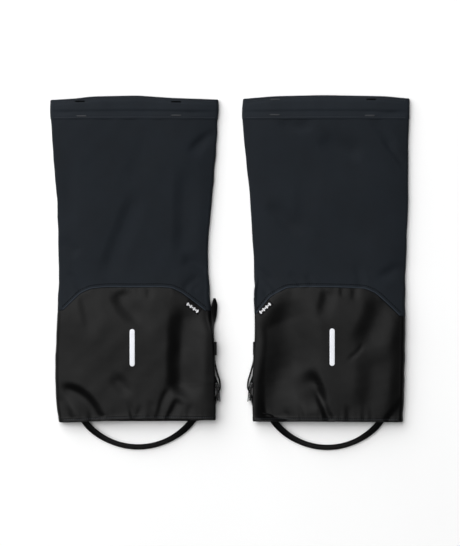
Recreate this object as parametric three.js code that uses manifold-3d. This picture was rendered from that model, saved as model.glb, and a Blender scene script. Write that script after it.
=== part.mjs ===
// A pair of full-length hiking gaiters, each a flattened fabric tube lying on its back with its front up.
// Millimetres, +Z up. The origin is at the middle of the pair, on the surface they lie on. +Y runs from the boot end to the calf end.
// Each gaiter is drawn in its own frame: x is positive towards the wearer's outer side, and the right gaiter is the mirror of the left in x.
import * as THREE from "three";
import { mergeVertices } from "three/addons/utils/BufferGeometryUtils.js";
import Module from "manifold-3d";

const wasm = await Module();
wasm.setup();

// ---- driving dimensions ----
const FABRIC = 1.2; // stand-in thickness of every fabric panel
const GAP = 0.3; // clearance between neighbouring pieces
const TOP_CROWN = 13.5; // height of the front panel over its middle at the calf
const BOOT_CROWN = 18; // and over the boot
const TOP_FOLD_R = 4.5; // radius of the side folds at the calf
const BOOT_FOLD_R = 7; // and at the boot
const CASING_Y = 206.2; // lower edge of the top casing
const HEM_TOP = -189.6;
const HEM_Y = -198.5; // lower edge of the boot hem
const HINGE_IN = 88; // fold lines of the two rear flaps, from the gaiter's middle
const HINGE_OUT = 80;
const BACK_TOP = 229;
const BACK_SEAM = -60; // seam between the two fabrics on the back
const OVERLAP = 20; // each rear flap passes the middle by this much
const FLAP_OUTER_Z = 3.5; // outer face of the underlap where the two flaps overlap
const TAPE = 0.9; // thickness of the hook tape and of the loop tape
const TAPE_HALF = 11;
const SNAP_Y = [218, -184];
const STRAP_W = 10; // underfoot strap: width and thickness
const STRAP_T = 2.2;
const STRAP_LEAN = 28; // degrees, top edge towards the gaiter
const STRAP_PIVOT_Y = -205.5;
const STRAP_MID_Z = 6.85;
const BUCKLE_Y = -151.5; // the buckle's hinge bar
const KEEPER_Y = [-110, -92.5];
const HOOK_Y = -186; // the lace hook's bar

// y, half-width to the inner side, half-width to the outer side
const LEFT = {
  name: "left",
  side: 1,
  cx: -128.35,
  outline: [
    [231.6, 111.2, 112.7], [217.7, 111.2, 112.2], [201.6, 111.0, 111.5],
    [177.6, 109.6, 110.7], [150.8, 108.0, 108.6], [124.1, 105.6, 106.7],
    [97.3, 102.9, 104.3], [70.6, 102.3, 101.6], [43.9, 101.6, 99.3],
    [17.1, 101.2, 98.9], [-9.6, 100.3, 99.6], [-36.4, 102.1, 100.6],
    [-63.1, 102.9, 103.2], [-89.8, 104.3, 104.6], [-116.6, 105.4, 105.8],
    [-143.3, 105.6, 107.2], [-170.1, 104.3, 107.6], [-183.4, 102.9, 107.6],
    [-198.5, 100.3, 107.0],
  ],
  arch: [
    [-102.4, -55.4], [-71.9, -25.8], [-57.6, -19.5], [-36.1, -17.4], [-0.4, -17.6],
    [35.4, -17.4], [50.7, -18.6], [64.2, -24.9], [85.6, -41.0], [103.4, -56.1],
  ],
  top: [
    [-111.2, 230.5], [-69.5, 233.0], [-52.4, 235.6], [3.9, 236.9], [44.9, 233.6], [113.1, 231.3],
  ],
  arc: { x: 4.1, y: -141.2, r: 91.8 },
  strip: { x: -1.8, y0: -75.0, y1: -125.1 },
  label: { x: 78.5, y: -46.0, turn: -37 },
  tip: [[105.2, -70], [106.6, -56], [107.4, -45], [107.6, -34]],
};
const RIGHT = {
  name: "right",
  side: -1,
  cx: 128.35,
  outline: [
    [231.6, 111.6, 111.2], [217.7, 111.4, 111.4], [201.6, 111.0, 111.6],
    [177.6, 110.7, 109.6], [150.8, 110.0, 107.0], [124.1, 110.4, 103.5],
    [97.3, 110.0, 101.6], [70.6, 109.4, 100.0], [43.9, 108.3, 97.9],
    [17.1, 107.2, 96.5], [-9.6, 106.3, 95.0], [-36.4, 105.9, 93.6],
    [-63.1, 106.7, 92.6], [-89.8, 105.9, 92.6], [-116.6, 105.6, 94.6],
    [-143.3, 105.4, 96.6], [-170.1, 104.3, 97.2], [-183.4, 103.4, 97.2],
    [-198.5, 102.7, 96.6],
  ],
  arch: [
    [-108.0, -65.2], [-86.5, -43.7], [-66.8, -25.7], [-52.5, -19.5], [-32.8, -18.0],
    [-4.0, -17.6], [28.1, -17.4], [53.2, -18.6], [74.6, -30.2], [93.2, -53.4],
  ],
  top: [
    [-112.0, 232.2], [-74.6, 236.0], [2.1, 237.4], [61.9, 236.0], [104.0, 232.2], [110.5, 228.0],
  ],
  arc: { x: -0.9, y: -147.2, r: 86.5 },
  strip: { x: -8.0, y0: -74.2, y1: -124.3 },
  label: { x: 81.2, y: -47.4, turn: -42 },
  tip: [[94.2, -70], [94.4, -56], [95.0, -45], [95.6, -34]],
};

// ---- materials ----
const mat = (color, roughness, metalness = 0) =>
  new THREE.MeshStandardMaterial({ color, roughness, metalness });
const UPPER = mat(0x25292e, 0.75);
const BOOT = mat(0x242525, 0.5);
const CASING = mat(0x292c32, 0.75);
const PIPING = mat(0x2b2f35, 0.7);
const ELASTIC = mat(0x18191b, 0.9);
const REFLECT = mat(0xf0f2fa, 0.35);
const LABEL = mat(0x101113, 0.6);
const WEBBING = mat(0x1c1d1f, 0.85);
const HOOK_TAPE = mat(0x1a1b1d, 0.8);
const LOOP_TAPE = mat(0x1f2023, 0.95);
const TPU = mat(0x1f2021, 0.4);
const BUCKLE = mat(0x17181a, 0.35);
const SNAP = mat(0x2a2b2d, 0.35, 0.8);
const STEEL = mat(0x9a9c9e, 0.3, 1);

// ---- section of the tube ----
const along = (table, v, key, value) => {
  const rising = table[table.length - 1][key] > table[0][key];
  const t = rising ? table : [...table].reverse();
  if (v <= t[0][key]) return t[0][value];
  for (let i = 1; i < t.length; i++)
    if (v <= t[i][key]) {
      const f = (v - t[i - 1][key]) / (t[i][key] - t[i - 1][key]);
      return t[i - 1][value] + f * (t[i][value] - t[i - 1][value]);
    }
  return t[t.length - 1][value];
};
const smooth = (a, b, v) => {
  const f = Math.min(1, Math.max(0, (v - a) / (b - a)));
  return f * f * (3 - 2 * f);
};
function size(g, y) {
  const boot = smooth(15, -70, y);
  return {
    inner: along(g.outline, y, 0, 1),
    outer: along(g.outline, y, 0, 2),
    crown: TOP_CROWN + (BOOT_CROWN - TOP_CROWN) * boot,
    r: TOP_FOLD_R + (BOOT_FOLD_R - TOP_FOLD_R) * boot,
  };
}
// The path round a section, from the outer fold line over the front to the inner fold line.
const ARC_STEPS = 5;
const FRONT_STEPS = 14;
const PATH = [];
PATH.push(["out", 0], ["out", 1]);
for (let i = 1; i < ARC_STEPS; i++) PATH.push(["arcOut", i / ARC_STEPS]);
for (let i = 0; i <= FRONT_STEPS; i++) PATH.push(["front", 1 - (2 * i) / FRONT_STEPS]);
for (let i = 1; i < ARC_STEPS; i++) PATH.push(["arcIn", i / ARC_STEPS]);
PATH.push(["in", 0], ["in", 1]);

// A point of the section at height y along the gaiter: off is outwards from the panel's outer face, lift raises the whole section.
function section(g, [kind, f], y, off = 0, lift = 0, shrink = 0) {
  const k = size(g, y);
  const outer = k.outer - shrink,
    inner = k.inner - shrink,
    r = k.r,
    a = outer - r,
    b = -(inner - r);
  if (kind === "out") return [HINGE_OUT + f * (a - HINGE_OUT), lift - off];
  if (kind === "in") return [b + f * (-HINGE_IN - b), lift - off];
  if (kind === "arcOut") {
    const t = Math.PI * (f - 0.5);
    return [a + (r + off) * Math.cos(t), r + lift + (r + off) * Math.sin(t)];
  }
  if (kind === "arcIn") {
    const t = Math.PI * (0.5 + f);
    return [b + (r + off) * Math.cos(t), r + lift + (r + off) * Math.sin(t)];
  }
  const half = (a - b) / 2,
    slope = (-4 * (k.crown - 2 * r) * f ** 3) / half,
    n = Math.hypot(1, slope);
  return [
    (a + b) / 2 + f * half - (off * slope) / n,
    2 * r + (k.crown - 2 * r) * (1 - f ** 4) + lift + off / n,
  ];
}
// Height of the front panel's outer face over a point.
function face(g, x, y) {
  const k = size(g, y),
    a = k.outer - k.r,
    b = -(k.inner - k.r),
    f = (x - (a + b) / 2) / ((a - b) / 2);
  return 2 * k.r + (k.crown - 2 * k.r) * (1 - Math.min(1, Math.abs(f)) ** 4);
}

// ---- building blocks ----
function geometry(points, triangles) {
  const g = new THREE.BufferGeometry();
  g.setAttribute("position", new THREE.BufferAttribute(new Float32Array(points.flat()), 3));
  g.setIndex(triangles.flat());
  return g;
}
// A closed skin between an outer and an inner grid of points, both [row][column].
function shell(outer, inner) {
  const rows = outer.length,
    cols = outer[0].length,
    n = rows * cols,
    tri = [],
    at = (i, j) => i * cols + j,
    quad = (a, b, c, d) => tri.push([a, b, c], [a, c, d]);
  for (let i = 0; i + 1 < rows; i++)
    for (let j = 0; j + 1 < cols; j++) {
      quad(at(i, j), at(i, j + 1), at(i + 1, j + 1), at(i + 1, j));
      quad(n + at(i, j), n + at(i + 1, j), n + at(i + 1, j + 1), n + at(i, j + 1));
    }
  for (let j = 0; j + 1 < cols; j++) {
    quad(at(0, j), n + at(0, j), n + at(0, j + 1), at(0, j + 1));
    quad(at(rows - 1, j), at(rows - 1, j + 1), n + at(rows - 1, j + 1), n + at(rows - 1, j));
  }
  for (let i = 0; i + 1 < rows; i++) {
    quad(at(i, 0), at(i + 1, 0), n + at(i + 1, 0), n + at(i, 0));
    quad(at(i, cols - 1), n + at(i, cols - 1), n + at(i + 1, cols - 1), at(i + 1, cols - 1));
  }
  return geometry([...outer.flat(), ...inner.flat()], tri);
}
// A closed loft through rings of points that all have the same count.
function loft(rings) {
  const m = rings[0].length,
    tri = [];
  for (let i = 0; i + 1 < rings.length; i++)
    for (let j = 0; j < m; j++) {
      const a = i * m + j,
        b = i * m + ((j + 1) % m);
      tri.push([a, b, b + m], [a, b + m, a + m]);
    }
  for (let j = 1; j + 1 < m; j++) {
    const e = (rings.length - 1) * m;
    tri.push([0, j + 1, j], [e, e + j, e + j + 1]);
  }
  return geometry(rings.flat(), tri);
}
// A loft of hollow four-cornered sections: each station is four outer corners and then four inner ones.
function tube(stations) {
  const tri = [],
    quad = (a, b, c, d) => tri.push([a, b, c], [a, c, d]);
  for (let i = 0; i + 1 < stations.length; i++)
    for (let j = 0; j < 4; j++) {
      const a = 8 * i + j,
        b = 8 * i + ((j + 1) % 4);
      quad(a, b, b + 8, a + 8);
      quad(a + 4, a + 12, b + 12, b + 4);
    }
  const e = 8 * (stations.length - 1);
  for (let j = 0; j < 4; j++) {
    const k = (j + 1) % 4;
    quad(j, j + 4, k + 4, k);
    quad(e + j, e + k, e + k + 4, e + j + 4);
  }
  return geometry(stations.flat(), tri);
}
// A flat outline in a plane, given a thickness: plane "xy" rises in z, "xz" runs in y, "yz" runs in x.
function prism(outline, from, to, plane = "xy", holes = []) {
  const shape = new THREE.Shape(outline.map((p) => new THREE.Vector2(...p)));
  holes.forEach((h) => shape.holes.push(new THREE.Path(h.map((p) => new THREE.Vector2(...p)))));
  const g = new THREE.ExtrudeGeometry(shape, { depth: to - from, bevelEnabled: false, curveSegments: 1 });
  const p = g.attributes.position;
  for (let i = 0; i < p.count; i++) {
    const u = p.getX(i),
      v = p.getY(i),
      w = p.getZ(i) + from;
    if (plane === "xy") p.setXYZ(i, u, v, w);
    if (plane === "xz") p.setXYZ(i, u, w, v);
    if (plane === "yz") p.setXYZ(i, w, u, v);
  }
  return g;
}
const box = (x0, x1, y0, y1, z0, z1) =>
  prism([[x0, y0], [x1, y0], [x1, y1], [x0, y1]], z0, z1);
const ring = (x, y, r, n, from = 0, to = 2 * Math.PI, whole = true) =>
  Array.from({ length: whole ? n : n + 1 }, (_, i) => {
    const t = from + ((to - from) * i) / n;
    return [x + r * Math.cos(t), y + r * Math.sin(t)];
  });
function solid(g) {
  const bare = g.clone();
  bare.deleteAttribute("normal");
  bare.deleteAttribute("uv");
  const merged = mergeVertices(bare, 1e-4);
  const make = (flip) => {
    const triVerts = new Uint32Array(merged.index.array);
    if (flip)
      for (let i = 0; i < triVerts.length; i += 3)
        [triVerts[i + 1], triVerts[i + 2]] = [triVerts[i + 2], triVerts[i + 1]];
    return new wasm.Manifold(
      new wasm.Mesh({ numProp: 3, vertProperties: new Float32Array(merged.attributes.position.array), triVerts }),
    );
  };
  const s = make(false);
  return s.volume() < 0 ? make(true) : s;
}
function mesh(g, name, made, material) {
  const m = (made.volume ? made : solid(made)).getMesh(),
    step = m.numProp,
    points = new Float32Array(m.numVert * 3),
    tri = new Uint32Array(m.triVerts);
  for (let i = 0; i < m.numVert; i++) {
    points[3 * i] = g.side * m.vertProperties[step * i];
    points[3 * i + 1] = m.vertProperties[step * i + 1];
    points[3 * i + 2] = m.vertProperties[step * i + 2];
  }
  if (g.side < 0)
    for (let i = 0; i < tri.length; i += 3) [tri[i + 1], tri[i + 2]] = [tri[i + 2], tri[i + 1]];
  const out = new THREE.BufferGeometry();
  out.setAttribute("position", new THREE.BufferAttribute(points, 3));
  out.setIndex(new THREE.BufferAttribute(tri, 1));
  out.computeVertexNormals();
  const node = new THREE.Mesh(out, material);
  node.name = g.name + "_" + name;
  return node;
}
// A panel of the tube between two curves of y, from off0 down to off1 below or above the outer face.
function panel(g, yTop, yBottom, rows, off0, off1, opt = {}) {
  const path = opt.path || PATH,
    lift = opt.lift || 0,
    shrink = opt.shrink || 0,
    grid = (off) =>
      Array.from({ length: rows + 1 }, (_, i) =>
        path.map((p) => {
          const mid = section(g, p, -40, 0, lift, shrink)[0],
            a = typeof yTop === "function" ? yTop(mid, p) : yTop,
            b = typeof yBottom === "function" ? yBottom(mid, p) : yBottom,
            y = a + ((b - a) * i) / rows,
            [x, z] = section(g, p, y, off, lift, shrink);
          return [x, y, z];
        }),
      );
  return shell(grid(off0), grid(off1));
}
// A casing round the tube: a folded band with a channel for elastic in it.
function channel(g, yTop, yBottom, out, inn, wall, stitch, lift) {
  return tube(
    PATH.map((p) => {
      const mid = section(g, p, (yTop.call ? 200 : yTop), 0, lift, out)[0],
        t = typeof yTop === "function" ? yTop(mid) : yTop,
        at = (y, off) => {
          const [x, z] = section(g, p, y, off, lift, out);
          return [x, y, z];
        };
      return [
        at(t, out), at(yBottom, out), at(yBottom, -inn), at(t, -inn),
        at(t - stitch, out - wall), at(yBottom + stitch, out - wall),
        at(yBottom + stitch, -inn + wall), at(t - stitch, -inn + wall),
      ];
    }),
  );
}
// A flat strap standing on its edge along a path of [x, y, mid z, lean, width].
function ribbon(path, thickness, centre) {
  const rings = path.map(([x, y, z, lean, width], i) => {
    const a = path[Math.max(0, i - 1)],
      b = path[Math.min(path.length - 1, i + 1)];
    let nx = b[1] - a[1],
      ny = -(b[0] - a[0]);
    const n = Math.hypot(nx, ny);
    nx /= n;
    ny /= n;
    if (centre && nx * (x - centre[0]) + ny * (y - centre[1]) < 0) {
      nx = -nx;
      ny = -ny;
    }
    const c = Math.cos((lean * Math.PI) / 180),
      s = Math.sin((lean * Math.PI) / 180),
      w = [-s * nx, -s * ny, c],
      t = [c * nx, c * ny, s],
      at = (u, v) => [
        x + w[0] * u + t[0] * v,
        y + w[1] * u + t[1] * v,
        z + w[2] * u + t[2] * v,
      ],
      hw = width / 2,
      ht = thickness / 2;
    return [at(-hw, -ht), at(-hw, ht), at(hw, ht), at(hw, -ht)];
  });
  return loft(rings);
}
const curve = (points, n) =>
  new THREE.CatmullRomCurve3(
    points.map((p) => new THREE.Vector3(...p)),
    false,
    "centripetal",
  )
    .getSpacedPoints(n)
    .map((v) => [v.x, v.y, v.z]);

// ---- one gaiter ----
function gaiter(g) {
  const group = new THREE.Group();
  group.position.x = g.cx;
  const add = (name, made, material) => group.add(mesh(g, name, made, material));
  const arch = (x) => along(g.arch, x, 0, 1);
  const crest = (x) => along(g.top, x, 0, 1);
  const wall = (y) => along(g.outline, y, 0, 2);
  const wallIn = (y) => along(g.outline, y, 0, 1);

  // front and sides: two fabrics that meet at the arched seam over the instep
  add("upper_panel", panel(g, CASING_Y - GAP, (x) => arch(x) + GAP / 2, 12, 0, -FABRIC), UPPER);
  const bootShell = solid(panel(g, (x) => arch(x) - GAP / 2, HEM_TOP + GAP, 8, 0, -FABRIC));
  // the strap leaves the tube through a slot in the outer side
  const slot = solid(box(wall(-180) - 6.4, wall(-180) + 3, -187.5, -172.5, 1.5, 13.6));
  add("boot_panel", bootShell.subtract(slot), BOOT);
  add(
    "arch_piping",
    panel(g, (x) => arch(x) + 1.2, (x) => arch(x) - 1.2, 1, 1.05, 0.25, {
      path: PATH.filter(([kind, f]) => kind === "front" && Math.abs(f) < 0.99),
    }),
    PIPING,
  );
  add("top_casing", channel(g, crest, CASING_Y, 0.9, 3.3, 1.1, 1.5, 0.9), CASING);
  add("top_elastic", panel(g, 226, 214, 1, -0.5, -1.9, { lift: 0.9, shrink: 0.9 }), ELASTIC);
  add("boot_hem", channel(g, HEM_TOP, HEM_Y, 0.7, 2.1, 0.8, 1.3, 0.7), BOOT);
  add("hem_elastic", panel(g, -192, -196, 1, -0.35, -1.05, { lift: 0.7, shrink: 0.7 }), ELASTIC);

  // reflective strip and woven label on the boot panel
  const drape = (geo, up) => {
    const p = geo.attributes.position;
    for (let i = 0; i < p.count; i++)
      p.setZ(i, p.getZ(i) + up + face(g, p.getX(i), p.getY(i)));
    return geo;
  };
  const sx = g.strip.x,
    sr = 3.4;
  add(
    "reflective_strip",
    drape(
      prism(
        [
          ...ring(sx, g.strip.y0 - sr, sr, 8, 0, Math.PI, false),
          ...ring(sx, g.strip.y1 + sr, sr, 8, Math.PI, 2 * Math.PI, false),
        ],
        0,
        0.5,
      ),
      0.3,
    ),
    REFLECT,
  );
  const turn = (g.label.turn * Math.PI) / 180;
  add(
    "woven_label",
    drape(
      prism(
        [[-11.5, -4], [0, -4], [11.5, -4], [11.5, 4], [0, 4], [-11.5, 4]].map(([u, v]) => [
          g.label.x + u * Math.cos(turn) - v * Math.sin(turn),
          g.label.y + u * Math.sin(turn) + v * Math.cos(turn),
        ]),
        0,
        0.6,
      ),
      0.35,
    ),
    LABEL,
  );

  // rear flap: hinges on the inner side's fold and closes over the underlap
  const a0 = -HINGE_IN + 2 * GAP,
    flap = (y0, y1) => solid(box(a0, OVERLAP, y0, y1, 0, FABRIC));
  const cut = (s, y) => s.subtract(solid(prism(ring(0, y, 6.3, 16), -1, 3)));
  add("flap_upper", cut(flap(BACK_SEAM + GAP / 2, BACK_TOP), SNAP_Y[0]), UPPER);
  add("flap_lower", cut(flap(HEM_Y, BACK_SEAM - GAP / 2), SNAP_Y[1]), BOOT);
  add("hook_tape", box(-TAPE_HALF, TAPE_HALF, -170, 205, FABRIC + 0.1, FABRIC + 0.1 + TAPE), HOOK_TAPE);

  // underlap: hinges on the outer side's fold and lies inside the flap
  const b0 = HINGE_OUT - 2 * GAP,
    z0 = FLAP_OUTER_Z;
  const lap = [
    [b0, 0], [b0, FABRIC], [48, FABRIC], [27.6, z0 + FABRIC], [-OVERLAP, z0 + FABRIC], [-OVERLAP, z0], [28, z0], [48.4, 0],
  ];
  add("underlap_upper", prism(lap, BACK_SEAM + GAP / 2, BACK_TOP, "xz"), UPPER);
  add("underlap_lower", prism(lap, HEM_Y, BACK_SEAM - GAP / 2, "xz"), BOOT);
  add("loop_tape", box(-TAPE_HALF, TAPE_HALF, -170, 205, z0 - 0.1 - TAPE, z0 - 0.1), LOOP_TAPE);

  // press studs above and below the tapes: cap and socket in the flap, stud on the underlap
  const turned = (profile, y) => {
    const l = new THREE.LatheGeometry(profile.map((p) => new THREE.Vector2(...p)), 16);
    l.rotateX(Math.PI / 2);
    l.translate(0, y, 0);
    return l;
  };
  ["top", "bottom"].forEach((end, i) => {
    add(
      "snap_cap_" + end,
      turned([[0, 0], [5, 0], [6, 0.5], [6, 0.95], [4.6, 1.1], [4.6, 2.2], [2.3, 2.2], [2.3, 1.2], [0, 1.2]], SNAP_Y[i]),
      SNAP,
    );
    add(
      "snap_stud_" + end,
      turned([[0, 1.5], [1.4, 1.5], [1.8, 1.8], [1.8, 2.5], [4.6, 2.5], [4.6, 3.3], [0, 3.3]], SNAP_Y[i]),
      SNAP,
    );
  });

  // underfoot strap: a flat strap on its edge, bent round below the hem
  const { x: ax, y: ay, r } = g.arc;
  const bend = Math.acos((ay - STRAP_PIVOT_Y) / r);
  const over = 7 / r;
  const arcAt = (t, lean = STRAP_LEAN, z = STRAP_MID_Z) => [
    ax + r * Math.sin(t), ay - r * Math.cos(t), z, lean, STRAP_W,
  ];
  const drop = (t) => STRAP_MID_Z - 1.7 * (1 - smooth(0.45, 1, Math.abs(t) / bend));
  const loop = [];
  for (let i = 0; i <= 36; i++) {
    const t = -(bend + over) + (2 * (bend + over) * i) / 36;
    loop.push(arcAt(t, STRAP_LEAN, drop(t)));
  }
  const bar = (rad) =>
    solid(prism(ring(STRAP_PIVOT_Y, STRAP_MID_Z, rad, 32), -150, 150, "yz"));
  const below = solid(box(-150, 150, -300, STRAP_PIVOT_Y, -20, 60));
  add(
    "underfoot_strap",
    solid(ribbon(loop, STRAP_T, [ax, ay])).intersect(below.add(bar(5.3))),
    TPU,
  );
  const apart = below.add(bar(6.2));
  // its sewn end runs up inside the inner side, flat against the anchor patch
  const xi = -(wallIn(-160) - 6.6);
  const stub = curve(
    [
      arcAt(-bend).slice(0, 3),
      [ax + r * Math.sin(-bend - 0.14), ay - r * Math.cos(bend + 0.14), 6.95],
      [xi + 9, -181, 7.1],
      [xi + 1.6, -168, 7.2],
      [xi, -158, 7.2],
      [xi, -147, 7.2],
    ],
    14,
  ).map((p, i) => [...p, STRAP_LEAN * (1 - smooth(2, 11, i)), STRAP_W]);
  add("strap_fixed_end", solid(ribbon(stub, STRAP_T, [ax, ay])).subtract(apart), TPU);
  add(
    "strap_anchor",
    box(xi - STRAP_T / 2 - GAP - 1, xi - STRAP_T / 2 - GAP, -172, -146, 3.2, 11.2),
    WEBBING,
  );

  // its adjustable end leaves through the side slot, passes the buckle and the keeper, and ends in a pointed tip
  const w = wall(-160);
  const tailPoints = [
    arcAt(bend).slice(0, 3),
    [ax + r * Math.sin(bend + 0.1), ay - r * Math.cos(bend + 0.1), 7.6],
    [w - 24, -193.5, 8.15],
    [w - 12, -187.6, 7.8],
    [w - 2.6, -181.8, 7.3],
    [w + 1.4, -174.6, 7.5],
    [w + 1.7, -168, 7.9],
    [w + 4.4, -161, 7.9],
    [w + 7.4, -154.5, 7.9],
    [w + 7.5, -149, 7.9],
    [w + 6.9, -144, 7.9],
    [w + 4.6, -136.5, 7.9],
    [w + 2.4, -128.5, 7.9],
    [wall(-118) + 1.9, -118, 7.9],
    [wall(-110) + 1.8, -108, 7.9],
    [wall(-92) + 1.8, -92, 7.9],
    ...g.tip.map(([x, y]) => [x, y, 7.9]),
  ];
  const line = curve(tailPoints, 72);
  const tail = line.map((p, i) => {
    const far = p[1] - tailPoints[tailPoints.length - 1][1];
    const width = p[1] > -60 ? STRAP_W * Math.min(1, Math.max(0.16, -far / 8) ** 0.6) : STRAP_W;
    return [...p, STRAP_LEAN * (1 - smooth(2, 12, i)), width];
  });
  const pinSlot = solid(box(w - 4, w + 14, -164.2, -148.7, 6.2, 9.6));
  add("strap_tail", solid(ribbon(tail, STRAP_T)).subtract(apart).subtract(pinSlot), TPU);

  // pin buckle on a webbing loop at the outer side
  const bx = w + 3.1,
    by = BUCKLE_Y,
    zc = 7.9;
  const legs = prism(
    [
      ...ring(bx, by, 2.8, 10, Math.PI, 2 * Math.PI, false),
      [bx + 2.6, by + 2.5],
      [bx + 1.2, by + 6],
      [bx - 1.4, by + 13],
      [bx - 2.8, by + 13],
    ],
    zc - 4.3,
    zc + 4.3,
    "xy",
    [
      [
        ...ring(bx, by, 1.9, 10, Math.PI, 2 * Math.PI, false),
        [bx + 1.6, by + 2],
        [bx + 0.2, by + 4.6],
        [bx - 1.9, by + 4.6],
      ],
    ],
  );
  add(
    "buckle_loop",
    solid(legs).subtract(solid(box(bx - 4, bx + 4, by - 5, by + 3.6, zc - 1.7, zc + 1.7))),
    WEBBING,
  );
  const ringFrame = prism(
    [[1.2, -7.3], [1.2, 7.3], [-18, 7.3], [-19.3, 6], [-19.3, -6], [-18, -7.3]],
    -1.2,
    1.2,
    "yz",
    [[[-1.2, -5.5], [-1.2, 5.5], [-16.9, 5.5], [-16.9, -5.5]]],
  );
  const tilt = (geo, deg) => {
    geo.rotateZ((deg * Math.PI) / 180);
    geo.translate(bx, by, zc);
    return geo;
  };
  add("buckle_frame", tilt(ringFrame, 4.6), BUCKLE);
  // the pin wraps the frame's bar and lies over the far bar
  const pin = solid(prism(ring(0, 0, 3.0, 16), -1.1, 1.1, "xy", [ring(0, 0, 1.85, 16)])).add(
    solid(prism([[1.95, 0.6], [1.95, -20.6], [3.1, -21.2], [3.3, -20.8], [3.3, -3], [2.9, 0.6]], -1.1, 1.1)),
  );
  const placed = pin.rotate([0, 0, 4.6]).translate([bx, by, zc]);
  add("buckle_pin", placed, STEEL);

  // keeper round the strap's tail
  const kw = wall(-101),
    kz0 = 1.4,
    kz1 = 14.4;
  add(
    "tail_keeper",
    prism(
      [
        [kw - 1.2, kz0], [kw + 5.4, kz0], [kw + 5.4, kz1], [kw - 1.2, kz1],
        [kw - 1.2, kz1 - 1.1], [kw + 4.3, kz1 - 1.1], [kw + 4.3, kz0 + 1.1], [kw - 1.2, kz0 + 1.1],
      ],
      KEEPER_Y[0],
      KEEPER_Y[1],
      "xz",
    ),
    WEBBING,
  );

  // lace hook behind the front of the hem, on its own webbing loop
  const hy = HOOK_Y,
    hz = 7.6,
    inside = face(g, 0, hy) - FABRIC - GAP;
  add(
    "hook_loop",
    prism(
      [
        ...ring(hy, hz, 2.2, 10, Math.PI, 2 * Math.PI, false),
        [hy + 2.2, inside - 2],
        [hy + 3.4, inside - 0.4],
        [hy + 3.4, inside],
        [hy - 2.2, inside],
      ],
      -4,
      4,
      "yz",
      [
        [
          ...ring(hy, hz, 1.3, 10, Math.PI, 2 * Math.PI, false),
          [hy + 1.3, inside - 2.6],
          [hy - 1.3, inside - 2.6],
        ],
      ],
    ),
    WEBBING,
  );
  const plate = solid(box(-6.6, 6.6, hy - 0.8, hy + 9, hz - 0.7, hz + 0.7)).subtract(
    solid(box(-4.4, 4.4, hy + 0.8, hy + 4.6, hz - 2, hz + 2)),
  );
  const claw = solid(
    prism(
      [
        [hy + 7, hz - 0.7], [hy + 19, hz - 0.7], [hy + 21, hz + 0.6], [hy + 21, hz + 2.6], [hy + 19.4, hz + 4],
        [hy + 12, hz + 4], [hy + 12, hz + 2.8], [hy + 18.8, hz + 2.8], [hy + 19.7, hz + 2], [hy + 19.7, hz + 1.2],
        [hy + 18.8, hz + 0.7], [hy + 7, hz + 0.7],
      ],
      -3,
      3,
      "yz",
    ),
  );
  add("lace_hook", plate.add(claw), STEEL);
  return group;
}

const pair = new THREE.Group();
pair.add(gaiter(LEFT), gaiter(RIGHT));
export default pair;
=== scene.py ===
import math

import bpy
import numpy as np
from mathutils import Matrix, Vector


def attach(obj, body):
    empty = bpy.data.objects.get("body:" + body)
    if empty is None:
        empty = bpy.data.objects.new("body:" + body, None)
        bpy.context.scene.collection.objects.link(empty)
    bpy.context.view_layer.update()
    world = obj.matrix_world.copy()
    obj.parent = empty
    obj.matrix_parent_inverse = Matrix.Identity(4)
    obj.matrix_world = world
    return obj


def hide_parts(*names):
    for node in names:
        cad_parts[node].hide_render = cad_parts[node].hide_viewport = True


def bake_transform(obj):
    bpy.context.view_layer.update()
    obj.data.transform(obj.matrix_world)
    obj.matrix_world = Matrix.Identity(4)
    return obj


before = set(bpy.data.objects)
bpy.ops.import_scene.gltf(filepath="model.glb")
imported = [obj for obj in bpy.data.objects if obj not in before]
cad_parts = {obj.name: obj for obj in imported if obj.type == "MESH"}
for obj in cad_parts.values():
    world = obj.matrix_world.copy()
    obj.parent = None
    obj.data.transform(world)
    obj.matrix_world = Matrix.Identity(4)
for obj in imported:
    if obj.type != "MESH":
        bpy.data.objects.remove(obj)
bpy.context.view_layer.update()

MM = 0.001
rng = np.random.default_rng(7)


# ---------------------------------------------------------------- helpers
def smooth(a, b, v):
    f = np.clip((np.asarray(v, float) - a) / (b - a), 0, 1)
    return f * f * (3 - 2 * f)


def bump(v, centre, width):
    return np.exp(-(((np.asarray(v, float) - centre) / width) ** 2))


def wave_noise(seed, x, y, wavelength, n=7):
    """A smooth seeded field of about -1..1 with features of that size in mm."""
    r = np.random.default_rng(seed)
    out = np.zeros(np.broadcast(x, y).shape)
    for _ in range(n):
        a = r.uniform(0, 2 * math.pi)
        k = 2 * math.pi / (wavelength * r.uniform(0.7, 1.5))
        out = out + np.sin(k * (x * math.cos(a) + y * math.sin(a)) + r.uniform(0, 2 * math.pi))
    return out / math.sqrt(n)


def gauss_table(xs, ys, lo, hi, sigma):
    """A table of numbers, interpolated every millimetre and smoothed."""
    order = np.argsort(xs)
    t = np.arange(lo, hi + 1.0)
    v = np.interp(t, np.array(xs, float)[order], np.array(ys, float)[order])
    k = np.exp(-0.5 * (np.arange(-24, 25) / sigma) ** 2)
    k /= k.sum()
    v = np.convolve(np.pad(v, 24, mode="edge"), k, mode="valid")
    return t, v


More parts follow.
